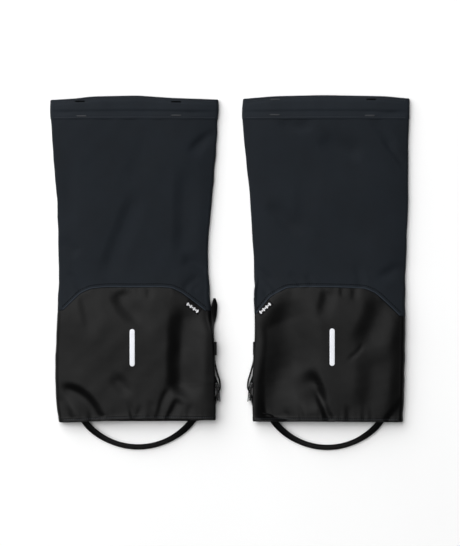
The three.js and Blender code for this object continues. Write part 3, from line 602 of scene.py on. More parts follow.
def section_grid(g, top_y, bottom_y, rows, fold_name, off=0.0, extra=None, rows_at=None):
    """Outer-face points of a panel: rows down the gaiter, columns round it from the outer fold line to the inner one."""
    # first pass: where each column sits across, to read the curved edges there
    u = []
    y0 = np.array([-40.0])
    b0, a0 = (float(v[0]) for v in front_range(g, y0))
    for j in range(N_BACK):
        u.append(("bo", j / N_BACK))
    for j in range(N_ARC):
        u.append(("ao", j / (N_ARC - 1)))
    for j in range(1, N_FRONT):
        u.append(("f", 1 - 2 * j / N_FRONT))
    for j in range(N_ARC):
        u.append(("ai", j / (N_ARC - 1)))
    for j in range(1, N_BACK + 1):
        u.append(("bi", j / N_BACK))
    C = len(u)
    Y = np.zeros((rows + 1, C))
    frac = np.linspace(0, 1, rows + 1) if rows_at is None else np.asarray(rows_at)
    for j, (k, f) in enumerate(u):
        if k == "f":
            x = (a0 + b0) / 2 + f * (a0 - b0) / 2
        elif k in ("bo", "ao"):
            x = a0 + 3 if k == "bo" else a0 + 3 * (1 - f)
        else:
            x = b0 - 3 if k == "bi" else b0 - 3 * f
        back = 0.0
        if k == "bo":
            back = 1 - f
        if k == "bi":
            back = f
        if k == "ao":
            back = -min(0, 2 * f - 1) * 0.0
        t, b = top_y(x, back), bottom_y(x, back)
        Y[:, j] = t + (b - t) * frac
    X = np.zeros_like(Y)
    Z = np.zeros_like(Y)
    W = np.zeros_like(Y)
    yy = Y
    for j, (k, f) in enumerate(u):
        y = yy[:, j]
        r, crown = radii(y)
        bf, af = front_range(g, y)
        if k == "f":
            X[:, j] = (af + bf) / 2 + f * (af - bf) / 2
            Z[:, j] = base_z(g, f, y)
            W[:, j] = 1 - 0.5 * smooth(0.84, 1.0, abs(f))
    # folds at the two sides
    jo = [j for j, (k, _) in enumerate(u) if k == "ao"]
    q = None
    mid = Y[:, jo[0]]
    q = arc_out(g, mid, N_ARC)
    for n_, j in enumerate(jo):
        X[:, j], Z[:, j] = q[:, n_, 0], q[:, n_, 1]
    for j, (k, f) in enumerate(u):
        y = yy[:, j]
        r, crown = radii(y)
        if k == "ai":
            inn, _ = silhouette(g, y)
            t = math.pi * (0.5 + f)
            X[:, j] = -(inn - r) + r * math.cos(t)
            Z[:, j] = r + r * math.sin(t)
        if k == "bo":
            X[:, j] = SPLIT_OUT + f * (X[:, jo[0]] - SPLIT_OUT)
        if k == "bi":
            inn, _ = silhouette(g, y)
            b = -(inn - r)
            X[:, j] = b + f * (SPLIT_IN - b)
    wx, wy = g.cx + g.s * X, Y
    D = fold_field(fold_name, wx, wy) if fold_name else np.zeros_like(X)
    if extra is not None:
        D = D + extra(X, Y, wx, wy)
    for j, (k, f) in enumerate(u):
        if k in ("ao", "ai"):
            r, _ = radii(yy[:, j])
            W[:, j] = 0.5 * smooth(1.0, 2.0, Z[:, j] / r)
    Z = Z + blur(D, 9) * W
    grid = np.stack([X, Y, Z], 2)
    if np.any(off):
        grid = grid + grid_normals_out(grid) * (off if np.ndim(off) == 0 else np.asarray(off)[..., None])
    return grid, u


def grid_normals_out(grid):
    """Normals that point out of the tube, for a grid whose columns run from the outer back over the front."""
    n = grid_normals(grid)
    mid = grid[grid.shape[0] // 2, grid.shape[1] // 2]
    if n[grid.shape[0] // 2, grid.shape[1] // 2, 2] < 0:
        n = -n
    return n


def cloth_uv(grid):
    d = np.linalg.norm(np.diff(grid, axis=1), axis=2)
    u = np.concatenate([np.zeros((grid.shape[0], 1)), np.cumsum(d, axis=1)], axis=1)
    u -= u[:, [grid.shape[1] // 2]]
    v = grid[..., 1]
    uv = np.stack([u, v], 2).reshape(-1, 2) / 10.0
    return np.vstack([uv, uv])


def to_world(g, pts):
    out = np.array(pts, float).copy()
    out[..., 0] = g.cx + g.s * out[..., 0]
    return out


def panel_object(g, name, grid, thickness, material, mask=None, off=0.0):
    n = grid_normals_out(grid)
    th = thickness if np.ndim(thickness) else np.full(grid.shape[:2], float(thickness))
    inner = grid - n * th[..., None]
    inner[..., 2] = np.maximum(inner[..., 2], 0.3)
    verts, faces = thick_grid(grid, inner, mask)
    # columns run from the outer side over the front, rows downwards
    ob = new_object(g.name + "_" + name, to_world(g, verts), faces, material, g.name + "_gaiter",
                    uv=cloth_uv(grid), flip=(g.s > 0))
    return ob


def fix_normals(ob):
    """Makes a closed piece's faces point outwards."""
    import bmesh

    bm = bmesh.new()
    bm.from_mesh(ob.data)
    bmesh.ops.recalc_face_normals(bm, faces=bm.faces)
    bm.to_mesh(ob.data)
    bm.free()
    ob.data.update()
    return ob


class Surface:
    """Reads the height of a panel's front over a place of the gaiter, from its grid."""

    def __init__(self, grid, u):
        cols = [j for j, (k, _) in enumerate(u) if k == "f"]
        self.x = grid[:, cols, 0]
        self.y = grid[:, cols, 1]
        self.z = grid[:, cols, 2]

    def __call__(self, x, y):
        x, y = np.atleast_1d(np.asarray(x, float)), np.atleast_1d(np.asarray(y, float))
        out = np.zeros(len(x))
        for k in range(len(x)):
            # the rows' y at this x differ from column to column, so find the nearest points
            d = (self.x - x[k]) ** 2 + (self.y - y[k]) ** 2
            i = np.argpartition(d.ravel(), 4)[:4]
            w = 1 / (d.ravel()[i] + 1e-3)
            out[k] = (self.z.ravel()[i] * w).sum() / w.sum()
        return out


def capsules(points, directions, ups, length, radius, sides=6, rings=5):
    """Small rounded threads: verts and faces for many at once."""
    t = np.linspace(-1, 1, rings)
    prof = np.sqrt(np.maximum(1 - np.abs(t) ** 3, 0.06))
    ang = np.linspace(0, 2 * math.pi, sides, endpoint=False)
    verts, faces = [], []
    points, directions, ups = np.asarray(points, float), np.asarray(directions, float), np.asarray(ups, float)
    d = directions / np.linalg.norm(directions, axis=1, keepdims=True)
    sd = np.cross(ups, d)
    sd /= np.linalg.norm(sd, axis=1, keepdims=True)
    up = np.cross(d, sd)
    L = np.broadcast_to(length, len(points))
    R = np.broadcast_to(radius, len(points))
    per = rings * sides
    for k in range(len(points)):
        base = k * per
        for i in range(rings):
            c = points[k] + d[k] * t[i] * L[k] / 2
            for j in range(sides):
                verts.append(c + (sd[k] * math.cos(ang[j]) + up[k] * math.sin(ang[j])) * R[k] * prof[i])
        for i in range(rings - 1):
            for j in range(sides):
                a, b = base + i * sides + j, base + i * sides + (j + 1) % sides
                faces.append([a, b, b + sides, a + sides])
        faces.append([base + j for j in range(sides)][::-1])
        faces.append([base + (rings - 1) * sides + j for j in range(sides)])
    return verts, faces


def stitch_line(g, name, line, surf, length, gap, radius, material, lift=0.1, body=None, down=False):
    """A row of stitches along a line of (x, y), lying on a surface."""
    line = np.array(line, float)
    d = np.r_[0, np.cumsum(np.linalg.norm(np.diff(line, axis=0), axis=1))]
    n = max(2, int(d[-1] / (length + gap)))
    s = (np.arange(n) + 0.5) * d[-1] / n
    at = lambda v: np.stack([np.interp(v, d, line[:, 0]), np.interp(v, d, line[:, 1])], 1)
    a, b = at(s - length / 2), at(s + length / 2)
    za, zb = surf(a[:, 0], a[:, 1]), surf(b[:, 0], b[:, 1])
    pa, pb = np.c_[a, za + (-lift if down else lift)], np.c_[b, zb + (-lift if down else lift)]
    mid, dr = (pa + pb) / 2, pb - pa
    verts, faces = capsules(mid, dr, np.tile([0, 0, 1.0], (n, 1)), length * 1.02, radius)
    ob = new_object(f"{g.name}_{name}", to_world(g, np.array(verts)), faces, material, body or g.name + "_gaiter")
    return fix_normals(ob)


def tack(g, name, px, py, surf, material, length=12.0):
    """A bar tack: close zigzag stitches over two laid threads."""
    X, Y = P(px, py)
    x = (X - g.cx) * g.s
    n = 15
    xs = x + np.linspace(-length / 2, length / 2, n)
    z = surf(xs, np.full(n, Y)) + 0.22
    pts = np.c_[xs, np.full(n, Y), z]
    dirs = np.array([[0.35 if i % 2 else -0.35, 1.0, 0] for i in range(n)])
    v1, f1 = capsules(pts, dirs, np.tile([0, 0, 1.0], (n, 1)), 2.3, 0.5)
    m = 2
    mid = np.array([[x, Y - 0.6, z.mean() - 0.05], [x, Y + 0.6, z.mean() - 0.05]])
    v2, f2 = capsules(mid, np.tile([1.0, 0, 0], (m, 1)), np.tile([0, 0, 1.0], (m, 1)), length, 0.45, rings=9)
    faces = f1 + [[i + len(v1) for i in f] for f in f2]
    ob = new_object(f"{g.name}_{name}", to_world(g, np.array(v1 + v2)), faces, material, g.name + "_gaiter")
    return fix_normals(ob)


def ribbon_object(g, name, path, thickness, material, body, holes=()):
    """A flat moulded strap along [x, y, mid z, lean, width, flipped normal side], with rounded edges and real holes."""
    pts = path[:, :3]
    tan = np.gradient(pts[:, :2], axis=0)
    tan /= np.maximum(np.linalg.norm(tan, axis=1, keepdims=True), 1e-9)
    nx, ny = tan[:, 1], -tan[:, 0]
    lean, width = np.radians(path[:, 3]), path[:, 4]
    c, s = np.cos(lean), np.sin(lean)
    w = np.stack([-s * nx, -s * ny, c], 1)
    t = np.stack([c * nx, c * ny, s], 1)
    # across the strap: rounded edges and a shallow channel down the middle of each face
    v = np.array([-1.0, -0.985, -0.94, -0.86, -0.70, -0.60, -0.34, 0.0, 0.34, 0.60, 0.70, 0.86, 0.94, 0.985, 1.0])
    h = np.array([0.30, 0.62, 0.86, 1.0, 1.0, 0.84, 0.82, 0.82, 0.82, 0.84, 1.0, 1.0, 0.86, 0.62, 0.30])
    outer = pts[:, None] + w[:, None] * (v[None, :, None] * width[:, None, None] / 2) + t[:, None] * (h[None, :, None] * thickness / 2)
    inner = pts[:, None] + w[:, None] * (v[None, :, None] * width[:, None, None] / 2) - t[:, None] * (h[None, :, None] * thickness / 2)
    mask = np.ones((len(pts) - 1, len(v) - 1), bool)
    for y0, y1 in holes:
        for i in range(len(pts) - 1):
            m = (pts[i] + pts[i + 1]) / 2
            if y0 < m[1] < y1 and m[0] > 60:
                mask[i, 6:8] = False
    verts, faces = thick_grid(outer, inner, mask)
    ob = new_object(f"{g.name}_{name}", to_world(g, verts), faces, material, body)
    return fix_normals(ob)


def lathe(name, profile, centre, material, body, n=48, up=1):
    p = np.array(profile, float)
    ang = np.linspace(0, 2 * math.pi, n, endpoint=False)
    verts, faces = [], []
    for r, z in p:
        if r < 1e-6:
            verts.append((centre[0], centre[1], centre[2] + z * up))
        else:
            verts += [(centre[0] + r * math.cos(a), centre[1] + r * math.sin(a), centre[2] + z * up) for a in ang]
    starts, k = [], 0
    for r, _ in p:
        starts.append(k)
        k += 1 if r < 1e-6 else n
    for i in range(len(p) - 1):
        a, b = starts[i], starts[i + 1]
        for j in range(n):
            q = (j + 1) % n
            if p[i][0] < 1e-6:
                faces.append([a, b + j, b + q])
            elif p[i + 1][0] < 1e-6:
                faces.append([a + j, b, a + q])
            else:
                faces.append([a + j, b + j, b + q, a + q])
    ob = new_object(name, np.array(verts), faces, material, body)
    return fix_normals(ob)


def bevel(ob, width, segments=2, angle=30):
    m = ob.modifiers.new("edge", "BEVEL")
    m.width, m.segments, m.limit_method, m.angle_limit = width * MM, segments, "ANGLE", math.radians(angle)
    m.harden_normals = False
    for p in ob.data.polygons:
        p.use_smooth = False
    w = ob.modifiers.new("weighted", "WEIGHTED_NORMAL")
    w.keep_sharp = True


def keep_node(name, material, width=0.25, segments=2):
    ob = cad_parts[name]
    ob.data.materials.clear()
    ob.data.materials.append(material)
    bevel(ob, width, segments)
    return ob


def build(g):
    nm = g.name + "_"
    body = nm + "gaiter"
    arch = lambda x: float(T(g.t_arch, x))
    crest = lambda x: float(T(g.t_top, x))
    hem = lambda x: float(T(g.t_hem, x))
    seed = 20 if g.s > 0 else 40

    # --- distance to the arched seam, for the pucker that its stitches pull into both panels
    def seam_pull(X, Y, below):
        a = T(g.t_arch, X)
        d = (a - Y) if below else (Y - a)
        s = X
        ripple = 0.5 + 0.5 * wave_noise(seed + 1, s, 0 * s, 9.5) + 0.5 * wave_noise(seed + 2, s, 0 * s, 17)
        if below:
            depth = 0.30 * np.exp(-np.maximum(d, 0) / 9)
            return -depth * ripple - 0.55 * np.exp(-(np.maximum(d, 0) / 3.2) ** 2)
        return -0.12 * np.exp(-np.maximum(d, 0) / 6) * ripple

    def soft(X, Y, wx, wy):
        return 0.42 * wave_noise(seed + 3, wx, wy, 95) + 0.10 * wave_noise(seed + 4, wx, wy, 34) + 0.035 * wave_noise(seed + 5, wx, wy, 13, 9)

    # --- upper panel
    def extra_upper(X, Y, wx, wy):
        return soft(X, Y, wx, wy) + seam_pull(X, Y, False) - 0.15 * bump(Y, 204, 4) * (1 + wave_noise(seed + 6, X, 0 * X, 14))

    def seam_y(x, back):
        return arch(x) * (1 - back) + BACK_SEAM * back if back > 0 else arch(x)

    up_grid, up_u = section_grid(g, lambda x, b: CASING_Y + 1.2, lambda x, b: seam_y(x, b) - 0.9, 150, g.name + "_upper", extra=extra_upper)
    th = np.full(up_grid.shape[:2], FABRIC)
    upper = panel_object(g, "upper_cloth", up_grid, th, M_UPPER)
    fix_normals(upper)
    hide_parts(nm + "upper_panel")

    # --- boot panel, with its hem turned up and gathered on elastic
    def hem_pull(X, Y):
        d = Y - T(g.t_hem, X)
        ripple = np.abs(np.sin(math.pi * X / 8.3 + 1.2 * wave_noise(seed + 7, X, 0 * X, 40))) - 0.5
        fine = wave_noise(seed + 8, X, 0 * X, 7.5)
        return (0.55 * ripple + 0.25 * fine) * smooth(0, 3, d) * np.exp(-np.maximum(d - 3, 0) / 8) - 0.45 * bump(d, 3.6, 1.3)

    def extra_boot(X, Y, wx, wy):
        return soft(X, Y, wx, wy) * 1.25 + seam_pull(X, Y, True) + hem_pull(X, Y) + 0.5 * smooth(4, 20, T(g.t_arch, X) - Y)

    def hem_y(x, back):
        return hem(x) * (1 - back) + HEM_Y * back

    rows_at = np.r_[np.linspace(0, 0.93, 118), np.linspace(0.93, 1.0, 22)[1:]]
    boot_grid, boot_u = section_grid(g, lambda x, b: seam_y(x, b) + 0.6, hem_y, len(rows_at) - 1, g.name + "_boot", extra=extra_boot, rows_at=rows_at)
    # the edge tucks under the upper panel, and the hem's folded edge is round
    n = grid_normals_out(boot_grid)
    d_edge = boot_grid[..., 1] - boot_grid[-1:, :, 1]
    d_top = boot_grid[:1, :, 1] - boot_grid[..., 1]
    off = -0.5 * np.exp(-(d_top / 2.0) ** 2) + 0.35 * (1 - smooth(5.0, 7.5, d_edge)) - 0.9 * (1 - np.sqrt(np.clip(d_edge / 1.2, 0, 1)))
    boot_grid = boot_grid + n * off[..., None]
    th = 0.8 + 1.3 * (1 - smooth(6.0, 8.0, d_edge))
    th = th - 0.7 * (1 - np.sqrt(np.clip(d_edge / 1.2, 0, 1)))
    mask = np.ones((boot_grid.shape[0] - 1, boot_grid.shape[1] - 1), bool)
    mc = (boot_grid[:-1, :-1] + boot_grid[1:, 1:]) / 2
    kinds = np.array([k == "ao" for k, _ in boot_u[:-1]])
    mask &= ~(kinds[None, :] & (mc[..., 1] > -188.3) & (mc[..., 1] < -172.2) & (mc[..., 2] > 2.0) & (mc[..., 2] < 13.9))
    boot = panel_object(g, "boot_cloth", boot_grid, th, M_BOOT, mask=mask)
    fix_normals(boot)
    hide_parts(nm + "boot_panel", nm + "boot_hem", nm + "hem_elastic")

    # --- top casing with its elastic
    ridge_low = 217.4
    top_rows = np.r_[np.linspace(0, 0.06, 6)[:-1], np.linspace(0.06, 1, 46)]
    def extra_casing(X, Y, wx, wy):
        top = T(g.t_top, X)
        elastic = smooth(ridge_low - 1.6 + 0.8 * np.cos(X / 30), ridge_low + 1.2, Y) * (1 - smooth(top - 7.5, top - 3.5, Y))
        pucker = wave_noise(seed + 9, X, 0 * X, 11) * 0.10 + wave_noise(seed + 10, wx, wy * 0.4, 30) * 0.16
        stitch = -0.30 * bump(Y, top - 2.7, 0.8) - 0.32 * bump(Y, 207.6, 0.9)
        z = 0.95 * elastic + pucker + stitch
        if g.s < 0:
            z = z - 0.9 * bump(np.hypot((X + 87) / 14, (Y - 213) / 3.4), 0, 1) - 0.5 * bump(np.hypot((X + 60) / 9, (Y - 216) / 3), 0, 1)
        else:
            z = z - 0.5 * bump(np.hypot((X - 74) / 16, (Y - 213.5) / 2.4), 0, 1) - 0.45 * bump(np.hypot((X + 97) / 12, (Y - 214) / 2.6), 0, 1)
        return z + 0.42 * wave_noise(seed + 3, wx, wy, 95)

    cas_grid, cas_u = section_grid(g, lambda x, b: crest(x) * (1 - b) + (BACK_TOP + 1.5) * b, lambda x, b: CASING_Y - 0.7, len(top_rows) - 1, None, extra=extra_casing, rows_at=top_rows)
    n = grid_normals_out(cas_grid)
    d_edge = cas_grid[:1, :, 1] - cas_grid[..., 1]
    d_low = cas_grid[..., 1] - cas_grid[-1:, :, 1]
    off = 0.5 - 1.0 * (1 - np.sqrt(np.clip(d_edge / 1.3, 0, 1))) - 0.3 * (1 - smooth(0, 0.8, d_low))
    cas_grid = cas_grid + n * off[..., None]
    th = 2.4 - 1.2 * (1 - np.sqrt(np.clip(d_edge / 1.3, 0, 1)))
    casing = panel_object(g, "casing_cloth_painted_light", cas_grid, th, M_CASING_PAINTED_LIGHT)
    fix_normals(casing)
    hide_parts(nm + "top_casing", nm + "top_elastic")

    s_up, s_boot, s_cas = Surface(up_grid, up_u), Surface(boot_grid, boot_u), Surface(cas_grid, cas_u)
    g.s_up, g.s_boot, g.s_cas = s_up, s_boot, s_cas

    # --- piping along the arch
    b0, a0 = (float(v[0]) for v in front_range(g, np.array([-45.0])))
    xs = np.linspace(b0 + 0.6, a0 - 0.6, 260)
    ys = np.array([arch(x) - 0.9 for x in xs])
    zs = s_up(xs, ys + 0.6) - 0.05
    line = np.c_[xs, ys, zs]
    tan = np.gradient(line, axis=0)
    tan /= np.linalg.norm(tan, axis=1, keepdims=True)
    sd = np.cross([0, 0, 1.0], tan)
    sd /= np.linalg.norm(sd, axis=1, keepdims=True)
    upv = np.cross(tan, sd)
    verts, faces, m = [], [], 10
    for i in range(len(line)):
        for j in range(m):
            a = 2 * math.pi * j / m
            rr = 0.74 * (1 + 0.05 * math.sin(i * 1.1))
            verts.append(line[i] + sd[i] * math.cos(a) * rr * 1.15 + upv[i] * math.sin(a) * rr)
    for i in range(len(line) - 1):
        for j in range(m):
            a, b = i * m + j, i * m + (j + 1) % m
            faces.append([a, b, b + m, a + m])
    faces += [list(range(m))[::-1], [(len(line) - 1) * m + j for j in range(m)]]
    pipe = fix_normals(new_object(nm + "arch_rim", to_world(g, np.array(verts)), faces, M_PIPING, body))
    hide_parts(nm + "arch_piping")

    # --- stitching
    xs = np.linspace(b0 + 1.5, a0 - 1.5, 200)
    n2 = np.gradient(np.array([arch(x) for x in xs]), xs)
    k = 1 / np.sqrt(1 + n2**2)
    stitch_line(g, "arch_stitch", np.c_[xs - n2 * k * -0.0 + (-n2 * k) * -2.9 * -1, np.array([arch(x) for x in xs]) + 2.9 * k], s_up, 1.7, 1.2, 0.58, M_THREAD, lift=0.12)
    bt, at_ = (float(v[0]) for v in front_range(g, np.array([220.0])))
    xs = np.linspace(bt + 0.5, at_ - 0.5, 160)
    stitch_line(g, "crest_stitch", np.c_[xs, [crest(x) - 2.7 for x in xs]], s_cas, 1.8, 1.2, 0.38, M_THREAD_MID, lift=0.14)
    dip = lambda x: 207.2 + 1.0 * (1 - (x / 112.0) ** 2)
    stitch_line(g, "casing_stitch", np.c_[xs, [dip(x) for x in xs]], s_cas, 1.8, 1.2, 0.40, M_THREAD_MID, lift=0.14)
    bh, ah = (float(v[0]) for v in front_range(g, np.array([-194.0])))
    xs = np.linspace(bh + 0.5, ah - 0.5, 160)
    stitch_line(g, "hem_stitch", np.c_[xs, [hem(x) + 3.6 for x in xs]], s_boot, 1.8, 1.2, 0.40, M_THREAD_MID, lift=0.16)

    # the same tack thread is drawn pale or dark by how light falls: the pale copy is painted highlight, and the dark
    # thread on some upper tacks is painted shade under the top edge
    if g.s > 0:
        tacks = [(80, 101.4, s_cas, M_THREAD), (176, 101.9, s_cas, M_THREAD), (81.5, 116.1, s_cas, M_TACK_PAINTED_HIGHLIGHT), (176.2, 115.5, s_cas, M_TACK_PAINTED_HIGHLIGHT)]
    else:
        tacks = [(275.3, 99.6, s_cas, M_TACK_PAINTED_HIGHLIGHT), (371, 99.4, s_cas, M_THREAD), (274.6, 114.9, s_cas, M_TACK_PAINTED_HIGHLIGHT), (369.7, 115.7, s_cas, M_TACK_PAINTED_HIGHLIGHT)]
    for i, (px, py, sf, mt) in enumerate(tacks):
        tack(g, f"bar_tack_{i + 1}", px, py, sf, mt)

    # --- reflective strip
    sx, y0, y1 = g.strip
    R = 3.4
    ts = np.linspace(0, 1, 90)
    y_line = y0 + (y1 - y0) * ts
    hw = np.where(y_line > y0 - R, np.sqrt(np.maximum(R * R - (y_line - (y0 - R)) ** 2, 0)), np.where(y_line < y1 + R, np.sqrt(np.maximum(R * R - (y_line - (y1 + R)) ** 2, 0)), R))
    hw = np.maximum(hw, 0.15)
    v = np.linspace(-1, 1, 17)
    gx = sx + hw[:, None] * v[None, :]
    gy = np.repeat(y_line[:, None], len(v), 1)
    cy = np.clip(gy, y1 + R, y0 - R)
    dist = R - np.hypot(gx - sx, gy - cy)
    h = 0.34 * smooth(-0.02, 0.3, dist) - 0.16 * bump(dist, 0.95, 0.22)
    gz = s_boot(gx.ravel(), gy.ravel()).reshape(gx.shape)
    gz = blur(gz, 3)
    outer = np.stack([gx, gy, gz + 0.10 + h], 2)
    inner = np.stack([gx, gy, gz - 0.35], 2)
    verts, faces = thick_grid(outer, inner)
    uv = np.stack([gx, gy], 2).reshape(-1, 2) / 10
    strip = fix_normals(new_object(nm + "reflective_film", to_world(g, verts), faces, M_REFLECT, body, uv=np.vstack([uv, uv])))
    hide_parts(nm + "reflective_strip")

    # --- woven label: a plain pattern of bars and lozenges
    lx, ly, turn = g.label
    ca, sa = math.cos(math.radians(turn)), math.sin(math.radians(turn))
    uu, vv = np.linspace(-11.5, 11.5, 40), np.linspace(-4.0, 7.6, 24)
    U, V = np.meshgrid(uu, vv)
    gx, gy = lx + U * ca - V * sa, ly + U * sa + V * ca
    gz = blur(s_boot(gx.ravel(), gy.ravel()).reshape(gx.shape), 4)
    h = 0.75 - 0.35 * smooth(3, 7, V) + 0.12 * np.cos(U / 4.0) + 0.06 * (np.minimum(np.abs(V + 4), 0.6) < 0.6)
    outer = np.stack([gx, gy, gz + h], 2)
    inner = np.stack([gx, gy, gz + h - 0.55], 2)
    verts, faces = thick_grid(outer, inner)
    lab = fix_normals(new_object(nm + "label", to_world(g, verts), faces, M_LABEL, body))
    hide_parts(nm + "woven_label")
    zf = lambda u, v: float(np.interp(0, [0], [0])) + np.array(
        [outer[np.abs(vv - b).argmin(), np.abs(uu - a).argmin(), 2] for a, b in zip(u, v)])
    verts, faces = [], []
    shapes = []
    for i, c in enumerate(np.linspace(-8.0, 8.0, 7)):
        if i % 2 == 0:
            shapes.append([(c - 1.5, 0), (c - 0.7, 2.2), (c + 0.7, 2.2), (c + 1.5, 0), (c + 0.7, -2.2), (c - 0.7, -2.2)])
        else:
            shapes.append([(c - 0.9, -1.0), (c - 0.9, 1.0), (c + 0.9, 1.0), (c + 0.9, -1.0)])
    for sh in shapes:
        u = np.array([p[0] for p in sh])
        v2 = np.array([p[1] for p in sh]) - 0.2
        x, y = lx + u * ca - v2 * sa, ly + u * sa + v2 * ca
        z = zf(u, v2)
        k0 = len(verts)
        m = len(sh)
        verts += [(x[i], y[i], z[i] + 0.13) for i in range(m)] + [(x[i], y[i], z[i] - 0.1) for i in range(m)]
        faces.append([k0 + i for i in range(m)])
        faces.append([k0 + m + i for i in range(m)][::-1])
        faces += [[k0 + i, k0 + (i + 1) % m, k0 + m + (i + 1) % m, k0 + m + i] for i in range(m)]
    mark = fix_normals(new_object(nm + "label_pattern", to_world(g, np.array(verts)), faces, M_LABEL_MARK, body, smooth_faces=False))

    # --- underfoot strap: one piece, from its sewn end round the loop to the pointed tip
    ax, ay, r = g.arc
    bend = math.acos((ay - PIVOT_Y) / r)
    over_ = 7 / r
    arc_at = lambda t, z: [ax + r * math.sin(t), ay - r * math.cos(t), z]
    w = wall(g, -160)
    xi = -(wall_in(g, -160) - 6.6)
    stub = [
        [ax + r * math.sin(-bend - 0.14), ay - r * math.cos(bend + 0.14), 6.95],
        [xi + 9, -181, 7.1], [xi + 1.6, -168, 7.2], [xi, -158, 7.2], [xi, -147, 7.2],
    ][::-1]
    loop = []
    for i in range(41):
        t = -bend + 2 * bend * i / 40
        loop.append(arc_at(t, MID_Z - 1.7 * (1 - float(smooth(0.45, 1, abs(t) / bend)))))
    tail = [
        [ax + r * math.sin(bend + 0.1), ay - r * math.cos(bend + 0.1), 7.6],
        [w - 24, -193.5, 8.15], [w - 12, -187.6, 7.8], [w - 2.6, -181.8, 7.3], [w + 1.4, -174.6, 7.5],
        [w + 1.7, -168, 7.9], [w + 4.4, -161, 7.9], [w + 7.4, -154.5, 7.9], [w + 7.5, -149, 7.9], [w + 6.9, -144, 7.9],
        [w + 4.6, -136.5, 7.9], [w + 2.4, -128.5, 7.9],
        [wall(g, -118) + 1.9, -118, 7.9], [wall(g, -110) + 1.8, -108, 7.9], [wall(g, -92) + 1.8, -92, 7.9],
    ] + [[x, y, 7.9] for x, y in g.tip]
    line = catmull(stub + loop + tail, 620)
    # how far along each point is, to turn the lean off where the strap is inside the tube
    lo = int(np.argmin(np.abs(line[:, 1] - PIVOT_Y) + 1e3 * (line[:, 0] > 0)))
    hi = int(np.argmin(np.abs(line[:, 1] - PIVOT_Y) + 1e3 * (line[:, 0] < 0)))
    k = np.arange(len(line))
    d = np.r_[0, np.cumsum(np.linalg.norm(np.diff(line, axis=0), axis=1))]
    steep = np.abs(line[:, 0] - ax) / r
    lean = (STRAP_LEAN + 16 * smooth(0.35, 0.75, steep)) * smooth(d[lo] - 42, d[lo] - 4, d) * (1 - smooth(d[hi] + 4, d[hi] + 34, d))
    width = np.full(len(line), STRAP_W)
    far = d[-1] - d
    width = np.where(far < 9, STRAP_W * np.clip(np.maximum(0.12, far / 9) ** 0.6, 0, 1), width)
    if g.s > 0:
        lean = lean + 48 * smooth(-82, -52, line[:, 1]) * (line[:, 0] > 60)
    # the lean is towards the gaiter: the normal used is the one away from the loop's centre
    strap = ribbon_object(g, "foot_strap", np.c_[line, lean, width], STRAP_T, M_TPU, None,
                          holes=[(-164.2, -148.7), (-139.5, -136.5), (-129.5, -126.5), (-86, -83), (-76, -73)])
    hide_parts(nm + "strap_fixed_end", nm + "underfoot_strap", nm + "strap_tail")
    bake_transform(strap)

    # --- keeper: the right one lies close under the fold
    if g.s < 0:
        kw = wall(g, -101)
        sec = [(kw - 1.2, 1.8), (kw + 4.1, 1.8), (kw + 4.1, 13.9), (kw - 1.2, 13.9), (kw - 1.2, 13.2), (kw + 3.4, 13.2), (kw + 3.4, 2.5), (kw - 1.2, 2.5)]
        verts = [(x, y, z) for y in (KEEPER_Y[0], KEEPER_Y[1]) for x, z in sec]
        m = len(sec)
        faces = [list(range(m)), list(range(m, 2 * m))[::-1]] + [[i, (i + 1) % m, m + (i + 1) % m, m + i] for i in range(m)]
        kp = fix_normals(new_object(nm + "keeper", to_world(g, np.array(verts)), faces, M_WEBBING, body, smooth_faces=False))
        bevel(kp, 0.25, 2)
        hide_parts(nm + "tail_keeper")
    else:
        keep_node(nm + "tail_keeper", M_WEBBING, 0.35, 2)

    # --- rear flap and underlap
    def back_sheet(name, x0, x1, ya, yb, zfun, material, seed2, cols, rows, hem_low=False, hem_top=False):
        xs = np.linspace(x0, x1, cols)
        ys = np.linspace(yb, ya, rows)
        Xg, Yg = np.meshgrid(xs, ys)
        zo = zfun(Xg)
        wob = 0.10 * wave_noise(seed2, Xg, Yg, 60)
        edge = np.minimum(np.abs(Xg - x0), np.abs(Xg - x1))
        z_out = zo + 0.22 + wob
        turned = 0.0
        if hem_low:
            turned = turned + 0.35 * (1 - smooth(6, 7.5, Yg - ya))
        if hem_top:
            turned = turned + 0.35 * (1 - smooth(9, 11, yb - Yg))
        z_in = z_out + 0.85 + turned
        # rounded free edges
        rnd = 0.30 * (1 - smooth(0, 0.8, np.minimum(edge, np.minimum(Yg - ya, yb - Yg))))
        outer = np.stack([Xg, Yg, z_out + rnd], 2)
        inner = np.stack([Xg, Yg, z_in - rnd], 2)
        verts, faces = thick_grid(inner, outer)
        uv = np.stack([Xg, Yg], 2).reshape(-1, 2) / 10
        ob = new_object(nm + name, to_world(g, verts), faces, material, None, uv=np.vstack([uv, uv]))
        return fix_normals(ob)

    flat0 = lambda x: 0 * x
    fu = back_sheet("flap_upper_cloth", SPLIT_IN, OVERLAP, BACK_SEAM + 0.2, BACK_TOP, flat0, M_UPPER, seed + 11, 70, 120, hem_top=True)
    fl = back_sheet("flap_lower_cloth", SPLIT_IN, OVERLAP, HEM_Y, BACK_SEAM - 0.2, flat0, M_BOOT, seed + 12, 70, 60, hem_low=True)
    lap_z = lambda x: FLAP_OUTER_Z * (1 - smooth(28, 48, x))
    uu_ = back_sheet("underlap_upper_cloth", -OVERLAP, SPLIT_OUT, BACK_SEAM + 0.2, BACK_TOP, lap_z, M_UPPER, seed + 13, 70, 120, hem_top=True)
    ul = back_sheet("underlap_lower_cloth", -OVERLAP, SPLIT_OUT, HEM_Y, BACK_SEAM - 0.2, lap_z, M_BOOT, seed + 14, 70, 60, hem_low=True)
    for ob, nodes, child, s0, s1 in (
        (fu, ["flap_upper"], "flap", SPLIT_IN, -82), (fl, ["flap_lower"], "flap", SPLIT_IN, -82),
        (uu_, ["underlap_upper"], "underlap", SPLIT_OUT, 75), (ul, ["underlap_lower"], "underlap", SPLIT_OUT, 75),
    ):
        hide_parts(*[nm + n_ for n_ in nodes])
        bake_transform(ob)
